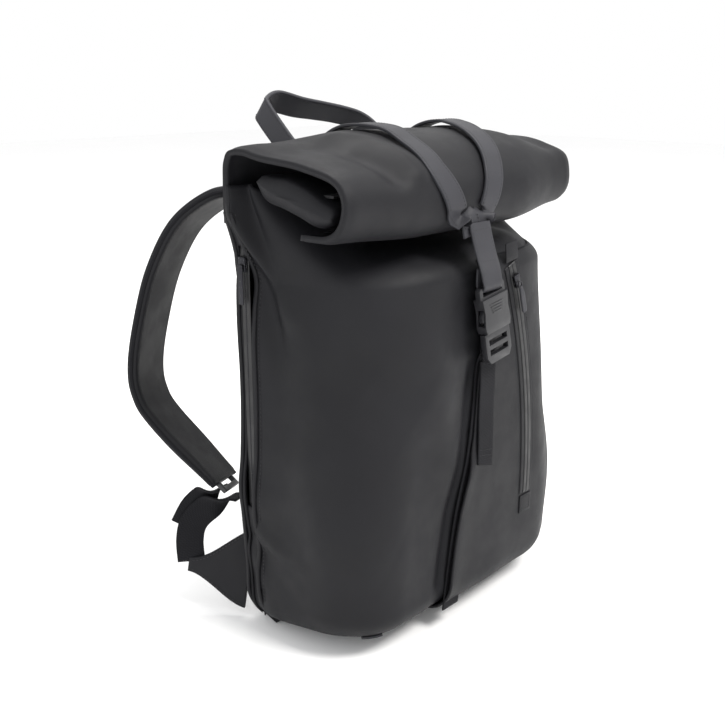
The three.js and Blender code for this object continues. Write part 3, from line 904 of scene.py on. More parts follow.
# ------------------------------------------------------------------ closing strap
ARM_WIDTH = 0.022
BUCKLE_CENTRE = Vector((-0.004, -0.099, 0.281))
BUCKLE_UP = Vector(JOINTS["buckle_release"]["axis"]).normalized()
BUCKLE_BACK = Vector(JOINTS["prong_left_squeeze"]["axis"]).normalized()
BUCKLE_SIDE = BUCKLE_BACK.cross(BUCKLE_UP)
BUCKLE_TURN = Matrix((BUCKLE_SIDE, BUCKLE_BACK, BUCKLE_UP)).transposed().to_4x4()
ARM_SPREAD = 0.060
ARM_END = 0.765                        # the part of the roof's section that the arms lie on
STRAP_SHIFT = -0.022                   # the arms meet to the left of the middle
ARM_CLOSING = {-1: (-ARM_SPREAD, 0.64, 0.82), 1: (ARM_SPREAD - 0.008, 0.37, 0.80)}


def arm_centre(side, s):
    """Across the bag, where an arm's middle lies at a place along the roof's section."""
    spread, start, end = ARM_CLOSING[side]
    closing = min(max((s - start) / (end - start), 0), 1)
    return mix(spread, STRAP_SHIFT + side * ARM_WIDTH / 2, closing)


class BACKPACK_OT_closing_strap(bpy.types.Operator):
    """Makes the two arms over the roof and the stem that is folded round the buckle's bar"""
    bl_idname = "backpack.closing_strap"
    bl_label = "Closing Strap"

    def execute(self, context):
        thickness = context.scene.backpack_sizes.strap_thickness
        rows = []
        for side, word in ((-1, "left"), (1, "right")):
            def centre(t, side=side):
                s = mix(0.06, ARM_END, t)
                raised = 0.0023 + 0.0006 + thickness / 2 + 0.0030 * math.sin(math.pi * smooth(0.1, 0.95, t))
                return roof_point(arm_centre(side, s), s, raised)
            lead = side * 0.0003
            joined = [Vector((STRAP_SHIFT + side * 0.0088, -0.0893 + lead, 0.370)),
                      Vector((STRAP_SHIFT + side * 0.0062, -0.0912 + lead, 0.356))]
            path = Path([centre(i / 26) for i in range(27)] + joined, 480)
            across = self.across(path)
            bm = band_mesh(path, across, ARM_WIDTH, thickness, 110, radius=0.0008, columns=6)
            piece(bm, f"strap_arm_{word}_leather", "strap_leather", "bag",
                  stands_for=(f"strap_arm_{word}",))
            for edge in (-1, 1):
                rows.append(self.edge_row(path, across, edge * (ARM_WIDTH / 2 - 0.0022), thickness))
        stitches("arm_stitches", rows, "bag", 0.0022)
        self.stem(thickness)
        return {"FINISHED"}

    @staticmethod
    def across(path):
        def side(t):
            heading = path.heading(t)
            flat = Vector((1, 0, 0))
            return (flat - heading * flat.dot(heading)).normalized()
        return side

    @staticmethod
    def edge_row(path, across, shift, thickness, start=0.03, end=0.97):
        def up(t):
            return path.heading(t).cross(across(t)) * -1
        def point(t):
            t = mix(start, end, t)
            out = up(t)
            out = out if out.dot(Vector((0, -0.6, 0.8))) > 0 else -out
            return path.at(t) + across(t) * shift + out.normalized() * (thickness / 2)
        line = Path([point(i / 40) for i in range(41)])
        def out_at(t):
            out = up(mix(start, end, t))
            return out if out.dot(Vector((0, -0.6, 0.8))) > 0 else -out
        return line, out_at

    @staticmethod
    def front(path, t):
        """The strap's outer side, towards the front."""
        heading = path.heading(t)
        return Vector((0, -heading.z, heading.y)).normalized()

    def stem(self, thickness):
        width = 0.0265
        up, out = BUCKLE_UP, -BUCKLE_BACK
        bar = BUCKLE_CENTRE + up * 0.0315
        outer = 0.0037
        line = [
            bar + up * 0.016 - out * 0.0012,
            bar + up * 0.006 - out * outer * 0.9,
            bar - out * outer,
            bar - up * 0.0038,
            bar + out * outer,
            bar + up * 0.007 + out * (outer * 0.95),
            bar + up * 0.014 + out * 0.0030,
            Vector((-0.0165, -0.0975, 0.340)),
            Vector((-0.0200, -0.0955, 0.354)),
            Vector((-0.0220, -0.0936, 0.366)),
        ]
        path = Path(line)

        def half(t):
            return mix(width - 0.002, width, smooth(0.2, 0.5, t))
        bm = band_mesh(path, lambda t: Vector((1, 0, 0)), half, 0.0019, 90, radius=0.0007, columns=8)
        piece(bm, "strap_stem_leather", "strap_leather", "clip_end", stands_for=("strap_stem",))
        face = thickness / 2 - 0.0004
        rows = []
        for t in (0.60, 0.93):
            ends = [path.at(t) + Vector((x, 0, 0)) + self.front(path, t) * face
                    for x in (-width / 2 + 0.002, 0, width / 2 - 0.002)]
            rows.append((Path(ends), lambda k, t=t: self.front(path, t)))
        for side in (-1, 1):
            x = side * (width / 2 - 0.0022)
            ends = [path.at(t) + Vector((x, 0, 0)) + self.front(path, t) * face
                    for t in (0.62, 0.70, 0.78, 0.86, 0.92)]
            rows.append((Path(ends), lambda k: self.front(path, 0.62 + 0.3 * k)))
        stitches("stem_stitches", rows, "clip_end", 0.0022)


# ------------------------------------------------------------------ buckle and webbing
class BACKPACK_OT_buckle(bpy.types.Operator):
    """Makes the side-release buckle, the webbing that holds it and its free tail"""
    bl_idname = "backpack.buckle"
    bl_label = "Buckle"

    def execute(self, context):
        refine("buckle_female", "buckle_female_half", "plastic", "clip_end", 0.0009, 3)
        refine("buckle_male", "buckle_male_half", "plastic", "bag", 0.0008, 3)
        for word in ("left", "right"):
            refine(f"buckle_prong_{word}", f"prong_{word}", "plastic", f"prong_{word}", 0.0005, 2)
        self.face()
        self.webbing(context.scene.backpack_sizes.webbing_thickness)
        return {"FINISHED"}

    def face(self):
        """Grip ribs on the female half, each narrower than the one above it."""
        bm = bmesh.new()
        for k in range(4):
            place = Matrix.Translation(BUCKLE_CENTRE) @ BUCKLE_TURN @ Matrix.Translation(
                (0, -0.0051, 0.0175 - 0.0024 * k))
            place = place @ Matrix.Diagonal((0.0175 - 0.0018 * k, 0.0009, 0.0011, 1))
            bmesh.ops.create_cube(bm, size=1.0, matrix=place)
        bmesh.ops.bevel(bm, geom=bm.edges[:], offset=0.00025, segments=2, profile=0.5,
                        affect="EDGES", material=-1)
        piece(bm, "buckle_grip_ribs", "plastic", "clip_end")

    def webbing(self, thickness):
        path = Path([Vector((overlap_edge(z) + 0.009, FRONT_Y - 0.0002, z))
                     for z in (0.020, 0.060, 0.110, 0.160, 0.205, 0.235)]
                    + [Vector((0, FRONT_Y - 0.0040, 0.250)), Vector((-0.0005, -0.0975, 0.2600)),
                       Vector((-0.001, -0.0998, 0.2640))])
        bm = band_mesh(path, lambda t: Vector((1, 0, 0)), 0.022, thickness, 120, radius=0.0006, columns=8)
        piece(bm, "anchor_webbing", "webbing", "bag", stands_for=("lower_webbing",))
        y = (TAIL_LOW.y + TAIL_HIGH.y) / 2
        hang = Path([
            Vector((0, y + 0.0002, TAIL_HIGH.z)), Vector((0, y - 0.0004, 0.225)),
            Vector((0.0005, y + 0.0002, 0.200)), Vector((0.0006, y - 0.0004, 0.175)),
            Vector((0.0004, y - 0.0008, 0.152))])
        bm = band_mesh(hang, lambda t: Vector((1, 0, 0.06 * t)), 0.0215, thickness, 70,
                       radius=0.0006, columns=8)
        for vert in bm.verts:
            if vert.co.z < 0.162:
                vert.co.z -= (vert.co.x + 0.0107) * 0.35 * smooth(0.162, 0.152, vert.co.z)
        piece(bm, "tail_webbing", "webbing", "tail", stands_for=("webbing_tail",))
        keeper = Path([Vector((0, y - 0.0012, 0.2475)), Vector((0, y - 0.0030, 0.2510)),
                       Vector((0, -0.0990, 0.2535)), Vector((0, -0.1015, 0.2560))])
        bm = band_mesh(keeper, lambda t: Vector((1, 0, 0)), 0.0215, thickness, 20, radius=0.0006, columns=8)
        piece(bm, "webbing_in_buckle", "webbing", "bag")
        rows = []
        for z in (0.158, 0.163):
            ends = [Vector((x, y - 0.0016, z - x * 0.2)) for x in (-0.009, 0, 0.009)]
            rows.append((Path(ends), lambda t: Vector((0, -1, 0))))
        stitches("tail_stitches", rows, "tail", 0.0020)


# ------------------------------------------------------------------ front pocket
ZIP_RADIUS = 0.570
ZIP_LOW_ANGLE = math.radians(-1.4)
ZIP_HIGH_ANGLE = math.radians(21.9)
ZIP_CENTRE = Vector(JOINTS["front_zip_travel"]["pos_m"])


def zip_path(y, low=ZIP_LOW_ANGLE, high=ZIP_HIGH_ANGLE, radius=ZIP_RADIUS, steps=16):
    """The front zip's arc at a depth y."""
    points = []
    for i in range(steps + 1):
        angle = mix(high, low, i / steps)
        points.append(Vector((ZIP_CENTRE.x + radius * math.cos(angle), y,
                              ZIP_CENTRE.z + radius * math.sin(angle))))
    return Path(points)


def across_front(path):
    def side(t):
        heading = path.heading(t)
        return Vector((heading.z, 0, -heading.x))
    return side


class BACKPACK_OT_front_pocket(bpy.types.Operator):
    """Makes the overlap and the curved pocket zip with its slider, pull and tabs"""
    bl_idname = "backpack.front_pocket"
    bl_label = "Front Pocket"

    def execute(self, context):
        self.overlap(context.scene.backpack_sizes.overlap_lift)
        self.zip()
        self.slider()
        self.tabs()
        return {"FINISHED"}

    def overlap(self, lift):
        top, right = 0.346 + CURL_EXTRA, 0.150

        def place(u, v):
            rise = mix(0.0, top, v)
            z = max(rise - CURL_EXTRA, 0)
            left = overlap_edge(z)
            run = mix(left, right, u)
            edge = run - left
            low = 1 - smooth(0.140, 0.170, z)
            raised = lift * math.exp(-edge / 0.012) * mix(0.15, 1.0, low) * smooth(0.0, 0.04, z)
            settle = smooth(0.085, 0.140, run)
            point = wall_point(run, rise, mix(0.0044, -0.0020, settle) + raised)
            point.z = max(point.z, 0.0030)
            return point
        bm = sheet_mesh(110, 110, place, (0.25, 0.352), closed=False)
        piece(bm, "overlap_leather", "body_leather", "bag", stands_for=("front_overlap",), thickness=0.0026)

    def zip(self):
        lips = bmesh.new()
        for side in (-1, 1):
            path = zip_path(ZIP_FACE + 0.0006, radius=ZIP_RADIUS + side * 0.0025)
            join_into(lips, band_mesh(path, across_front(path), 0.0043, 0.0016, 120, columns=4, ends=0.01))
        piece(lips, "zip_lips", "zip_tape", "bag", stands_for=("front_zip_tape",))
        teeth = bmesh.new()
        path = zip_path(ZIP_FACE + 0.0007)
        side_at = across_front(path)
        count = int(path.length / 0.0014)
        for i in range(count):
            t = (i + 0.5) / count
            heading, side = path.heading(t), side_at(t).normalized()
            turn = Matrix((side, heading.cross(side) * -1, heading)).transposed().to_4x4()
            scale = Matrix.Diagonal((0.0022, 0.0009, 0.0008, 1))
            bmesh.ops.create_cube(teeth, size=1.0, matrix=Matrix.Translation(path.at(t)) @ turn @ scale)
        soften(piece(teeth, "zip_teeth", "zip_metal", "bag"))
        welt = zip_path(ZIP_FACE + 0.0012, radius=ZIP_RADIUS - 0.0075)
        bm = band_mesh(welt, across_front(welt), 0.0052, 0.0022, 120, columns=5, ends=0.01)
        other = zip_path(ZIP_FACE + 0.0014, radius=ZIP_RADIUS + 0.0068)
        join_into(bm, band_mesh(other, across_front(other), 0.0040, 0.0016, 120, columns=5, ends=0.01))
        piece(bm, "zip_welts", "body_leather", "bag")
        rows = []
        for shift in (-0.0112, 0.0100):
            row = zip_path(OVERLAP_FACE - 0.0003, radius=ZIP_RADIUS + shift)
            rows.append((row, lambda t: Vector((0, -1, 0))))
        stitches("zip_stitches", rows, "bag", size=0.0020)

    def slider(self):
        body = refine("front_zip_slider", "front_zip_slider_body", "zip_metal", "front_slider",
                      0.0007, 3)
        low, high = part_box("front_zip_pull")
        top = Vector(JOINTS["front_zip_pull_swing"]["pos_m"])
        swing = Vector(JOINTS["front_zip_pull_swing"]["axis"])
        down = Vector((-swing.z, 0, swing.x))
        down = down if down.z < 0 else -down
        path = Path([top + down * d + Vector((0, -o, 0)) for d, o in (
            (0.004, 0.0), (0.012, 0.0004), (0.022, 0.0001), (0.0295, -0.0002))])

        def width(t):
            return mix(0.0036, 0.0062, smooth(0.0, 0.35, t)) * (1 - 0.25 * smooth(0.9, 1.0, t))
        bm = band_mesh(path, lambda t: swing, width, 0.0020, 30, radius=0.0009, columns=4)
        piece(bm, "front_zip_pull_tab", "strap_leather", "front_pull", ("front_zip_pull",))
        loop = bmesh.new()
        ring = Path([top + swing * (0.0024 * math.cos(a)) + down * (0.0028 - 0.0034 * math.sin(a))
                     for a in [2 * math.pi * k / 18 for k in range(19)]])
        join_into(loop, band_mesh(ring, lambda t: Vector((0, 1, 0)), 0.0011, 0.0010, 40, columns=3))
        piece(loop, "front_pull_ring", "zip_metal", "front_pull")
        return body, low, high

    def tabs(self):
        for node, name, finish in (("zip_garage_tab", "zip_garage", "body_leather"),
                                   ("zip_end_tab", "zip_end", "body_leather")):
            refine(node, name, finish, "bag", 0.0005, 3)
        low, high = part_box("zip_end_tab")
        rows = frame_rows(low, high, low.y - 0.0002, -1, 0.0025)
        stitches("end_tab_stitches", rows, "bag", size=0.0019)


# ------------------------------------------------------------------ side zip
class BACKPACK_OT_side_zip(bpy.types.Operator):
    """Makes the zip that opens the inner sleeve from the left side"""
    bl_idname = "backpack.side_zip"
    bl_label = "Side Zip"

    def execute(self, context):
        low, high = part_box("side_zip_tape")
        start, end = SEAM_RUN + 0.0003, SEAM_RUN + ZIP_STRIP + 0.0003
        lower = wall_sheet(-end, -start, STRIP_RISE, low.z + CURL_EXTRA + 0.0005, 6, 40, -0.0018)
        piece(lower, "side_strip_foot", "body_leather", "bag", stands_for=("side_zip_foot",), thickness=WALL)
        upper = wall_sheet(-end, -start, high.z + CURL_EXTRA - 0.0005, WALL_RISE, 6, 24)
        piece(upper, "side_strip_top", "body_leather", "bag", thickness=WALL)
        lips = bmesh.new()
        middle = (low.y + high.y) / 2
        for side in (-1, 1):
            y = middle + side * 0.0027
            path = Path([Vector((low.x + 0.0008, y, mix(low.z, high.z, t))) for t in (0, 0.33, 0.66, 1)])
            join_into(lips, band_mesh(path, lambda t: Vector((0, 1, 0)), 0.0047, 0.0016, 60, columns=4))
        piece(lips, "side_zip_lips", "zip_tape", "bag", stands_for=("side_zip_tape",))
        teeth = bmesh.new()
        count = int((high.z - low.z) / 0.0016)
        for i in range(count):
            z = mix(low.z, high.z, (i + 0.5) / count)
            place = Matrix.Translation((low.x + 0.0007, middle, z))
            place = place @ Matrix.Diagonal((0.0010, 0.0026, 0.0009, 1))
            bmesh.ops.create_cube(teeth, size=1.0, matrix=place)
        soften(piece(teeth, "side_zip_teeth", "zip_metal", "bag"))
        refine("side_zip_slider", "side_zip_slider_body", "zip_metal", "side_slider", 0.0006, 3)
        refine("side_zip_pull", "side_zip_pull_tab", "zip_metal", "side_pull", 0.0006, 3)
        return {"FINISHED"}


# ------------------------------------------------------------------ back
class BACKPACK_OT_back(bpy.types.Operator):
    """Makes the back panel, its two pads, the anchor patches and the label"""
    bl_idname = "backpack.back"
    bl_label = "Back"

    def execute(self, context):
        self.panel()
        for word in ("left", "right"):
            self.pad(word)
        rows = []
        for node in ("handle_anchor", "left_top_anchor", "right_top_anchor"):
            refine(node, node + "_patch", "body_leather", "bag", 0.0009, 3)
            low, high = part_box(node)
            rows += frame_rows(low, high, high.y + 0.0002, 1, 0.003)
        stitches("patch_stitches", rows, "bag")
        ring = frame["nodes"]["hang_ring"]
        ring.data.materials.clear()
        ring.data.materials.append(finishes()["strap_leather"])
        self.label()
        return {"FINISHED"}

    def label(self):
        """A plain folded tag that is caught in the base seam."""
        width, height = 0.022, 0.013

        def place(u, v):
            point = wall_point(LABEL_RUN + width * (u - 0.5), 0.008 + height * v, 0.0026)
            return point - Vector((0, 0, 0.0006 * math.sin(math.pi * u)))
        bm = sheet_mesh(16, 10, place, (width, height), closed=False)
        piece(bm, "plain_tag", "strap_leather", "bag", ("bottom_label",), thickness=0.0022)

    def panel(self):
        """The back panel: soft leather that puffs a little around the pads."""
        half, high_z = BACK_HIGH.x, BACK_HIGH.z

        def place(u, v):
            x = mix(half, -half, u)
            z = high_z * v
            curl = CURL * (1 - math.sqrt(max(1 - (1 - min(z / CURL, 1)) ** 2, 0)))
            puff = 0.0020 * math.sin(math.pi * u) * math.sin(math.pi * v)
            puff += 0.0010 * noise.noise(Vector((x * 18, z * 14, 7.7)))
            channel = 0.0018 * (hump(abs(x) - 0.0655, 0.004) * smooth(0.03, 0.05, z)
                                * (1 - smooth(0.335, 0.35, z)))
            return Vector((x, BACK_Y - 0.0006 - curl + puff * 0.3 - channel, z))
        bm = sheet_mesh(90, 110, place, (2 * half, high_z), closed=False)
        piece(bm, "back_leather", "body_leather", "bag", stands_for=("back_panel",), thickness=WALL)

    def pad(self, word):
        """One long back pad: crowned, pulled in at its sewn cross channels."""
        low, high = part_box(f"back_pad_{word}")
        centre_x, half_x = (low.x + high.x) / 2, (high.x - low.x) / 2
        centre_z, half_z = (low.z + high.z) / 2, (high.z - low.z) / 2
        depth = high.y - low.y

        def place(u, v):
            a, b = 2 * u - 1, 2 * v - 1
            x = half_x * math.copysign(abs(a), a)
            z = half_z * b
            corner = 0.016
            over = max(abs(z) - (half_z - corner), 0)
            limit = half_x - (corner - math.sqrt(max(corner ** 2 - over ** 2, 0)))
            x = x * limit / half_x
            rim = min(half_x - abs(a) * half_x, half_z - abs(z))
            crown = math.sqrt(max(1 - (1 - min(rim / 0.011, 1)) ** 2, 0))
            swell = 1 - 0.18 * (abs(a) ** 3)
            channels = sum(hump(z - c, 0.0045) for c in (-0.075, 0.0, 0.075))
            y = depth * crown * swell * (1 - 0.55 * channels)
            y += 0.0004 * noise.noise(Vector((x * 60, z * 50, 2))) * crown
            return Vector((centre_x + x, low.y + 0.0002 + y, centre_z + z))
        bm = sheet_mesh(34, 150, place, (2 * half_x, 2 * half_z), closed=False)
        rims = [edge for edge in bm.edges if edge.is_boundary]
        bmesh.ops.holes_fill(bm, edges=rims, sides=0)
        bmesh.ops.recalc_face_normals(bm, faces=bm.faces)
        piece(bm, f"back_pad_{word}_mesh", "pad_cloth", "bag", stands_for=(f"back_pad_{word}",))


# ------------------------------------------------------------------ handle
class BACKPACK_OT_handle(bpy.types.Operator):
    """Makes the carry handle"""
    bl_idname = "backpack.handle"
    bl_label = "Handle"

    def execute(self, context):
        hinge = Vector(JOINTS["handle_swing"]["pos_m"])
        lean = math.radians(46)
        up = Vector((0, math.cos(lean), math.sin(lean)))
        across = Vector((1, 0, 0)).cross(up)
        half, reach, low_reach, turn = 0.0562, 0.0765, 0.052, 0.015
        shape = [(-half, 0.004), (-half - 0.004, 0.030), (-half - 0.006, reach - turn)]
        shape += [(-half - 0.003, reach - turn * 0.35), (-half + turn, reach + 0.001)]
        shape += [(mix(-half, half, t), mix(reach, low_reach, t ** 1.2)) for t in (0.35, 0.55, 0.75)]
        shape += [(half - 0.010, low_reach), (half, low_reach - 0.012), (half, 0.024), (half, 0.004)]
        path = Path([hinge + Vector((x, 0, 0)) + up * v for x, v in shape], 400)

        def lean_out(t):
            return across + up * 0.12 * math.sin(2 * math.pi * t)

        def width(t):
            return mix(0.0215, 0.0245, math.sin(math.pi * t))
        bm = band_mesh(path, lean_out, width, 0.0036, 150, radius=0.0013, columns=8)
        piece(bm, "carry_handle_leather", "strap_leather", "handle", stands_for=("carry_handle",))
        rows = []
        for shift in (-0.0098, 0.0098):
            for face in (-1, 1):
                def point(t, shift=shift, face=face):
                    side = lean_out(t).normalized()
                    out = path.heading(t).cross(side).normalized()
                    return path.at(t) + side * shift + out * (face * 0.00185)
                def outward(t, face=face):
                    return path.heading(mix(0.04, 0.96, t)).cross(lean_out(t)) * face
                line = Path([point(mix(0.04, 0.96, i / 60)) for i in range(61)], 400)
                rows.append((line, outward))
        stitches("handle_stitches", rows, "handle")
        return {"FINISHED"}


# ------------------------------------------------------------------ shoulder straps
PAD_LINE = ((30, 351), (60, 346), (92, 318), (110, 274), (117, 226), (118, 186), (111, 160),
            (92, 138), (29, 91))


class StrapPlane:
    """A shoulder strap's own plane: p away from the back, q up the line between its sewn ends."""

    def __init__(self, word):
        joint = JOINTS[f"{word}_strap_swing"]
        self.side = -1 if word == "left" else 1
        self.foot = Vector(joint["pos_m"])
        self.q = Vector(joint["axis"]).normalized()
        splay = math.radians(30)
        p = Vector((self.side * math.sin(splay), math.cos(splay), 0))
        self.p = (p - self.q * p.dot(self.q)).normalized()
        self.w = self.p.cross(self.q).normalized()

    def at(self, p, q, w=0.0):
        return self.foot + self.p * p * MM + self.q * q * MM + self.w * w * MM


class BACKPACK_OT_shoulder_straps(bpy.types.Operator):
    """Makes both padded shoulder straps with their webbing, adjusters and sewn-in wings"""
    bl_idname = "backpack.shoulder_straps"
    bl_label = "Shoulder Straps"

    def execute(self, context):
        for word in ("left", "right"):
            plane = StrapPlane(word)
            body = f"{word}_strap"
            self.pad(context, plane, word, body)
            self.webbing(context, plane, word, body)
            self.wing(plane, word, body)
            refine(f"{word}_adjuster", f"{word}_adjuster_frame", "plastic", body, 0.0007, 3)
        return {"FINISHED"}

    def pad(self, context, plane, word, body):
        thickness = context.scene.backpack_sizes.pad_thickness
        path = Path([plane.at(p, q) for p, q in PAD_LINE], 400)

        def width(t):
            taper = smooth(0.0, 0.10, t) * (1 - 0.30 * smooth(0.82, 1.0, t))
            return mix(0.040, 0.060, taper)

        def thick(t):
            return thickness * (1 - 0.25 * smooth(0.85, 1.0, t))
        bm = band_mesh(path, lambda t: plane.w, width, thick, 200, radius=0.0030, columns=16,
                       crown=0.10, ends=0.012)
        piece(bm, f"{word}_pad_leather", "body_leather", body,
              (f"{word}_strap_pad",))
        rows = []
        for edge in (-1, 1):
            for face in (-1, 1):
                def point(t, edge=edge, face=face):
                    t = mix(0.02, 0.985, t)
                    side = plane.w.normalized()
                    out = path.heading(t).cross(side).normalized()
                    return path.at(t) + side * edge * (width(t) / 2 - 0.0055) + out * face * thick(t) * 0.512
                def outward(t, face=face):
                    t = mix(0.02, 0.985, t)
                    return path.heading(t).cross(plane.w) * face
                rows.append((Path([point(i / 70) for i in range(71)], 400), outward))
        stitches(f"{word}_pad_stitches", rows, body)
        binding = bmesh.new()

        def over_edge(t):
            return plane.p.cross(path.heading(t)).cross(path.heading(t))
        for edge in (-1, 1):
            def rim(t, edge=edge):
                return path.at(t) + plane.w.normalized() * edge * (width(t) / 2 - 0.0002)
            line = Path([rim(i / 60) for i in range(61)], 400)
            join_into(binding, band_mesh(line, over_edge, 0.0036, 0.0030, 160, columns=3, ends=0.01))
        piece(binding, f"{word}_pad_binding", "webbing", body)

    def webbing(self, context, plane, word, body):
        thickness = context.scene.backpack_sizes.webbing_thickness
        lines = {
            "top_webbing": ([(9, 334), (14, 344), (22, 349.5), (36, 350)], 0.025, 0.0),
            "lower_webbing": ([(12, 78), (22, 76), (42, 62), (54, 46), (56, 28), (52, 8)], 0.0255, 1.30),
        }
        if word == "left":
            lines["webbing_end"] = ([(30, 84), (44, 74), (56, 60), (64, 40)], 0.0245, 1.30)
        for name, (points, width, twist) in lines.items():
            path = Path([plane.at(p, q) for p, q in points])

            def across(t, path=path, twist=twist):
                turn = twist * smooth(0.1, 0.4, t)
                flat = path.heading(t).cross(plane.w)
                return plane.w * math.cos(turn) + flat * math.sin(turn)
            bm = band_mesh(path, across, width, thickness + 0.0006, 60, radius=0.0007, columns=8)
            piece(bm, f"{word}_{name}_woven", "webbing", body, (f"{word}_{name}",))
        if word == "right":
            low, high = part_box("right_webbing_end")
            z = (low.z + high.z) / 2
            path = Path([Vector((x * MM, y * MM, z)) for x, y in ((166, 92), (170, 84), (181, 62),
                                                                (187, 30), (188, -8))])
            bm = band_mesh(path, lambda t: Vector((0, 0, 1)), 0.0245, thickness, 60, radius=0.0006, columns=8)
            piece(bm, "right_webbing_end_woven", "webbing", body, ("right_webbing_end",))

    def wing(self, plane, word, body):
        """The leather triangle that is sewn into the foot of the side seam."""
        path = Path([plane.at(p, q) for p, q in ((-5, 13), (16, 9), (36, 6), (54, 5))])
        up = plane.q

        def width(t):
            return mix(0.078, 0.014, smooth(-0.10, 1.0, t))
        bm = band_mesh(path, lambda t: up, width, 0.0036, 60, radius=0.0012, columns=10)
        piece(bm, f"{word}_wing_leather", "body_leather", body, stands_for=(f"{word}_wing",))
        rows = []
        for edge in (-1, 1):
            for face in (-1, 1):
                def point(t, edge=edge, face=face):
                    t = mix(0.05, 0.95, t)
                    out = path.heading(t).cross(up).normalized()
                    return path.at(t) + up * edge * (width(t) / 2 - 0.003) + out * face * 0.0019
                def outward(t, face=face):
                    return path.heading(mix(0.05, 0.95, t)).cross(up) * face
                rows.append((Path([point(i / 20) for i in range(21)]), outward))
        stitches(f"{word}_wing_stitches", rows, body)


# ------------------------------------------------------------------ inside
class BACKPACK_OT_inside(bpy.types.Operator):
    """Gives the boards and the sleeve inside the bag their finishes and makes the pocket's cloth"""
    bl_idname = "backpack.inside"
    bl_label = "Inside"

    def execute(self, context):
        for node, finish in (("base_board", "board"), ("frame_sheet", "board"), ("roof_stiffener", "board"),
                             ("laptop_sleeve", "lining")):
            mesh = frame["nodes"][node].data
            mesh.materials.clear()
            mesh.materials.append(finishes()[finish])
        self.pocket_bag()
        return {"FINISHED"}

    @staticmethod
    def pocket_bag():
        """The front pocket's cloth, close behind the front wall."""
        low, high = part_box("pocket_bag")
        right = min(high.x, POCKET_RIGHT)

        def place(u, v):
            return wall_point(mix(low.x, right, u), mix(low.z, POCKET_TOP, v) + CURL_EXTRA, -0.0062)
        bm = sheet_mesh(60, 60, place, (right - low.x, POCKET_TOP - low.z), closed=False)
        piece(bm, "pocket_bag_cloth", "lining", "bag", stands_for=("pocket_bag",), thickness=0.0008)


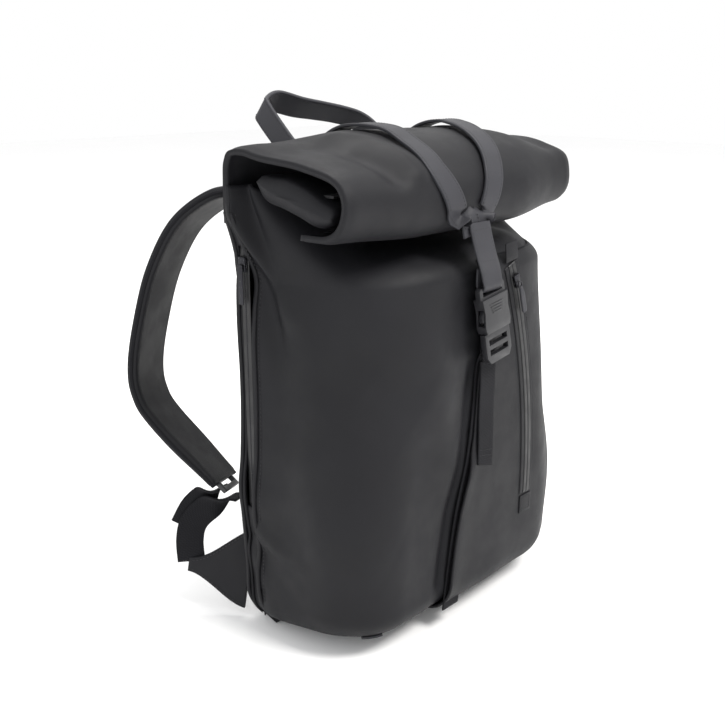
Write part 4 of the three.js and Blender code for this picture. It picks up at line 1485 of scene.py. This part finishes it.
# ------------------------------------------------------------------ stage
class BACKPACK_OT_stage(bpy.types.Operator):
    """Makes the floor, the lights and the camera"""
    bl_idname = "backpack.stage"
    bl_label = "Stage"

    def execute(self, context):
        stage = context.scene.backpack_stage
        azimuth, elevation = stage.azimuth, stage.elevation
        back = Vector((math.sin(azimuth) * math.cos(elevation),
                       -math.cos(azimuth) * math.cos(elevation), math.sin(elevation)))
        camera = bpy.data.objects.new("camera", bpy.data.cameras.new("camera"))
        context.scene.collection.objects.link(camera)
        camera.location = Vector(stage.aim) + back * stage.distance
        camera.rotation_euler = (-back).to_track_quat("-Z", "Y").to_euler()
        camera.data.lens = stage.lens
        camera.data.sensor_width = 36
        context.scene.camera = camera
        context.scene.view_settings.view_transform = "Standard"
        self.floor(context)
        self.lights(context, back)
        return {"FINISHED"}

    def floor(self, context):
        bm = bmesh.new()
        bmesh.ops.create_grid(bm, x_segments=1, y_segments=1, size=6.0)
        mesh = bpy.data.meshes.new("floor")
        bm.to_mesh(mesh)
        bm.free()
        floor = bpy.data.objects.new("floor", mesh)
        floor.location.z = -0.0006
        context.scene.collection.objects.link(floor)
        mesh.materials.append(floor_finish("pale_floor"))

    def lights(self, context, back):
        world = bpy.data.worlds.new("world")
        context.scene.world = world
        world.use_nodes = True
        shell = world.node_tree.nodes["Background"]
        shell.inputs["Color"].default_value = (1.0, 1.0, 1.0, 1)
        shell.inputs["Strength"].default_value = 1.0
        aim = Vector((0, 0, 0.25))
        right = Vector((-back.y, back.x, 0)).normalized()
        for name, place, size, energy, tint in (
            ("key", aim + right * 1.5 + back * 0.9 + Vector((0, 0, 1.9)), 0.9, 75, (1.0, 0.985, 0.96)),
            ("top", aim - back * 0.6 + Vector((0, 0, 2.2)), 1.2, 26, (1.0, 0.99, 0.97)),
            ("fill", aim - right * 1.9 + back * 1.6 + Vector((0, 0, 0.5)), 1.4, 9, (0.93, 0.96, 1.0)),
        ):
            data = bpy.data.lights.new(name, "AREA")
            data.shape = "SQUARE"
            data.size = size
            data.energy = energy
            data.color = tint
            light = bpy.data.objects.new(name, data)
            context.scene.collection.objects.link(light)
            light.location = place
            light.rotation_euler = (aim - place).to_track_quat("-Z", "Y").to_euler()


# ------------------------------------------------------------------ panel and registration
OPERATORS = (
    BACKPACK_OT_stage, BACKPACK_OT_body, BACKPACK_OT_roof, BACKPACK_OT_closing_strap,
    BACKPACK_OT_buckle, BACKPACK_OT_front_pocket, BACKPACK_OT_side_zip, BACKPACK_OT_back,
    BACKPACK_OT_handle, BACKPACK_OT_shoulder_straps, BACKPACK_OT_inside,
)


class BACKPACK_PT_panel(bpy.types.Panel):
    """Lists the backpack's pieces and sizes"""
    bl_idname = "BACKPACK_PT_panel"
    bl_label = "Backpack"
    bl_space_type = "VIEW_3D"
    bl_region_type = "UI"
    bl_category = "Backpack"

    def draw(self, context):
        scene = context.scene
        for group in (scene.backpack_sizes, scene.backpack_finish, scene.backpack_stage):
            for key in group.__annotations__:
                self.layout.prop(group, key)
        for operator in OPERATORS:
            self.layout.operator(operator.bl_idname)


CLASSES = (BACKPACK_PG_sizes, BACKPACK_PG_finish, BACKPACK_PG_stage, *OPERATORS, BACKPACK_PT_panel)


def register():
    for cls in CLASSES:
        bpy.utils.register_class(cls)
    bpy.types.Scene.backpack_sizes = bpy.props.PointerProperty(type=BACKPACK_PG_sizes)
    bpy.types.Scene.backpack_finish = bpy.props.PointerProperty(type=BACKPACK_PG_finish)
    bpy.types.Scene.backpack_stage = bpy.props.PointerProperty(type=BACKPACK_PG_stage)


def unregister():
    del bpy.types.Scene.backpack_stage
    del bpy.types.Scene.backpack_finish
    del bpy.types.Scene.backpack_sizes
    for cls in reversed(CLASSES):
        bpy.utils.unregister_class(cls)


def main():
    register()
    for operator in OPERATORS:
        name = operator.bl_idname.split(".")[1]
        getattr(bpy.ops.backpack, name)()


if __name__ == "__main__":
    main()
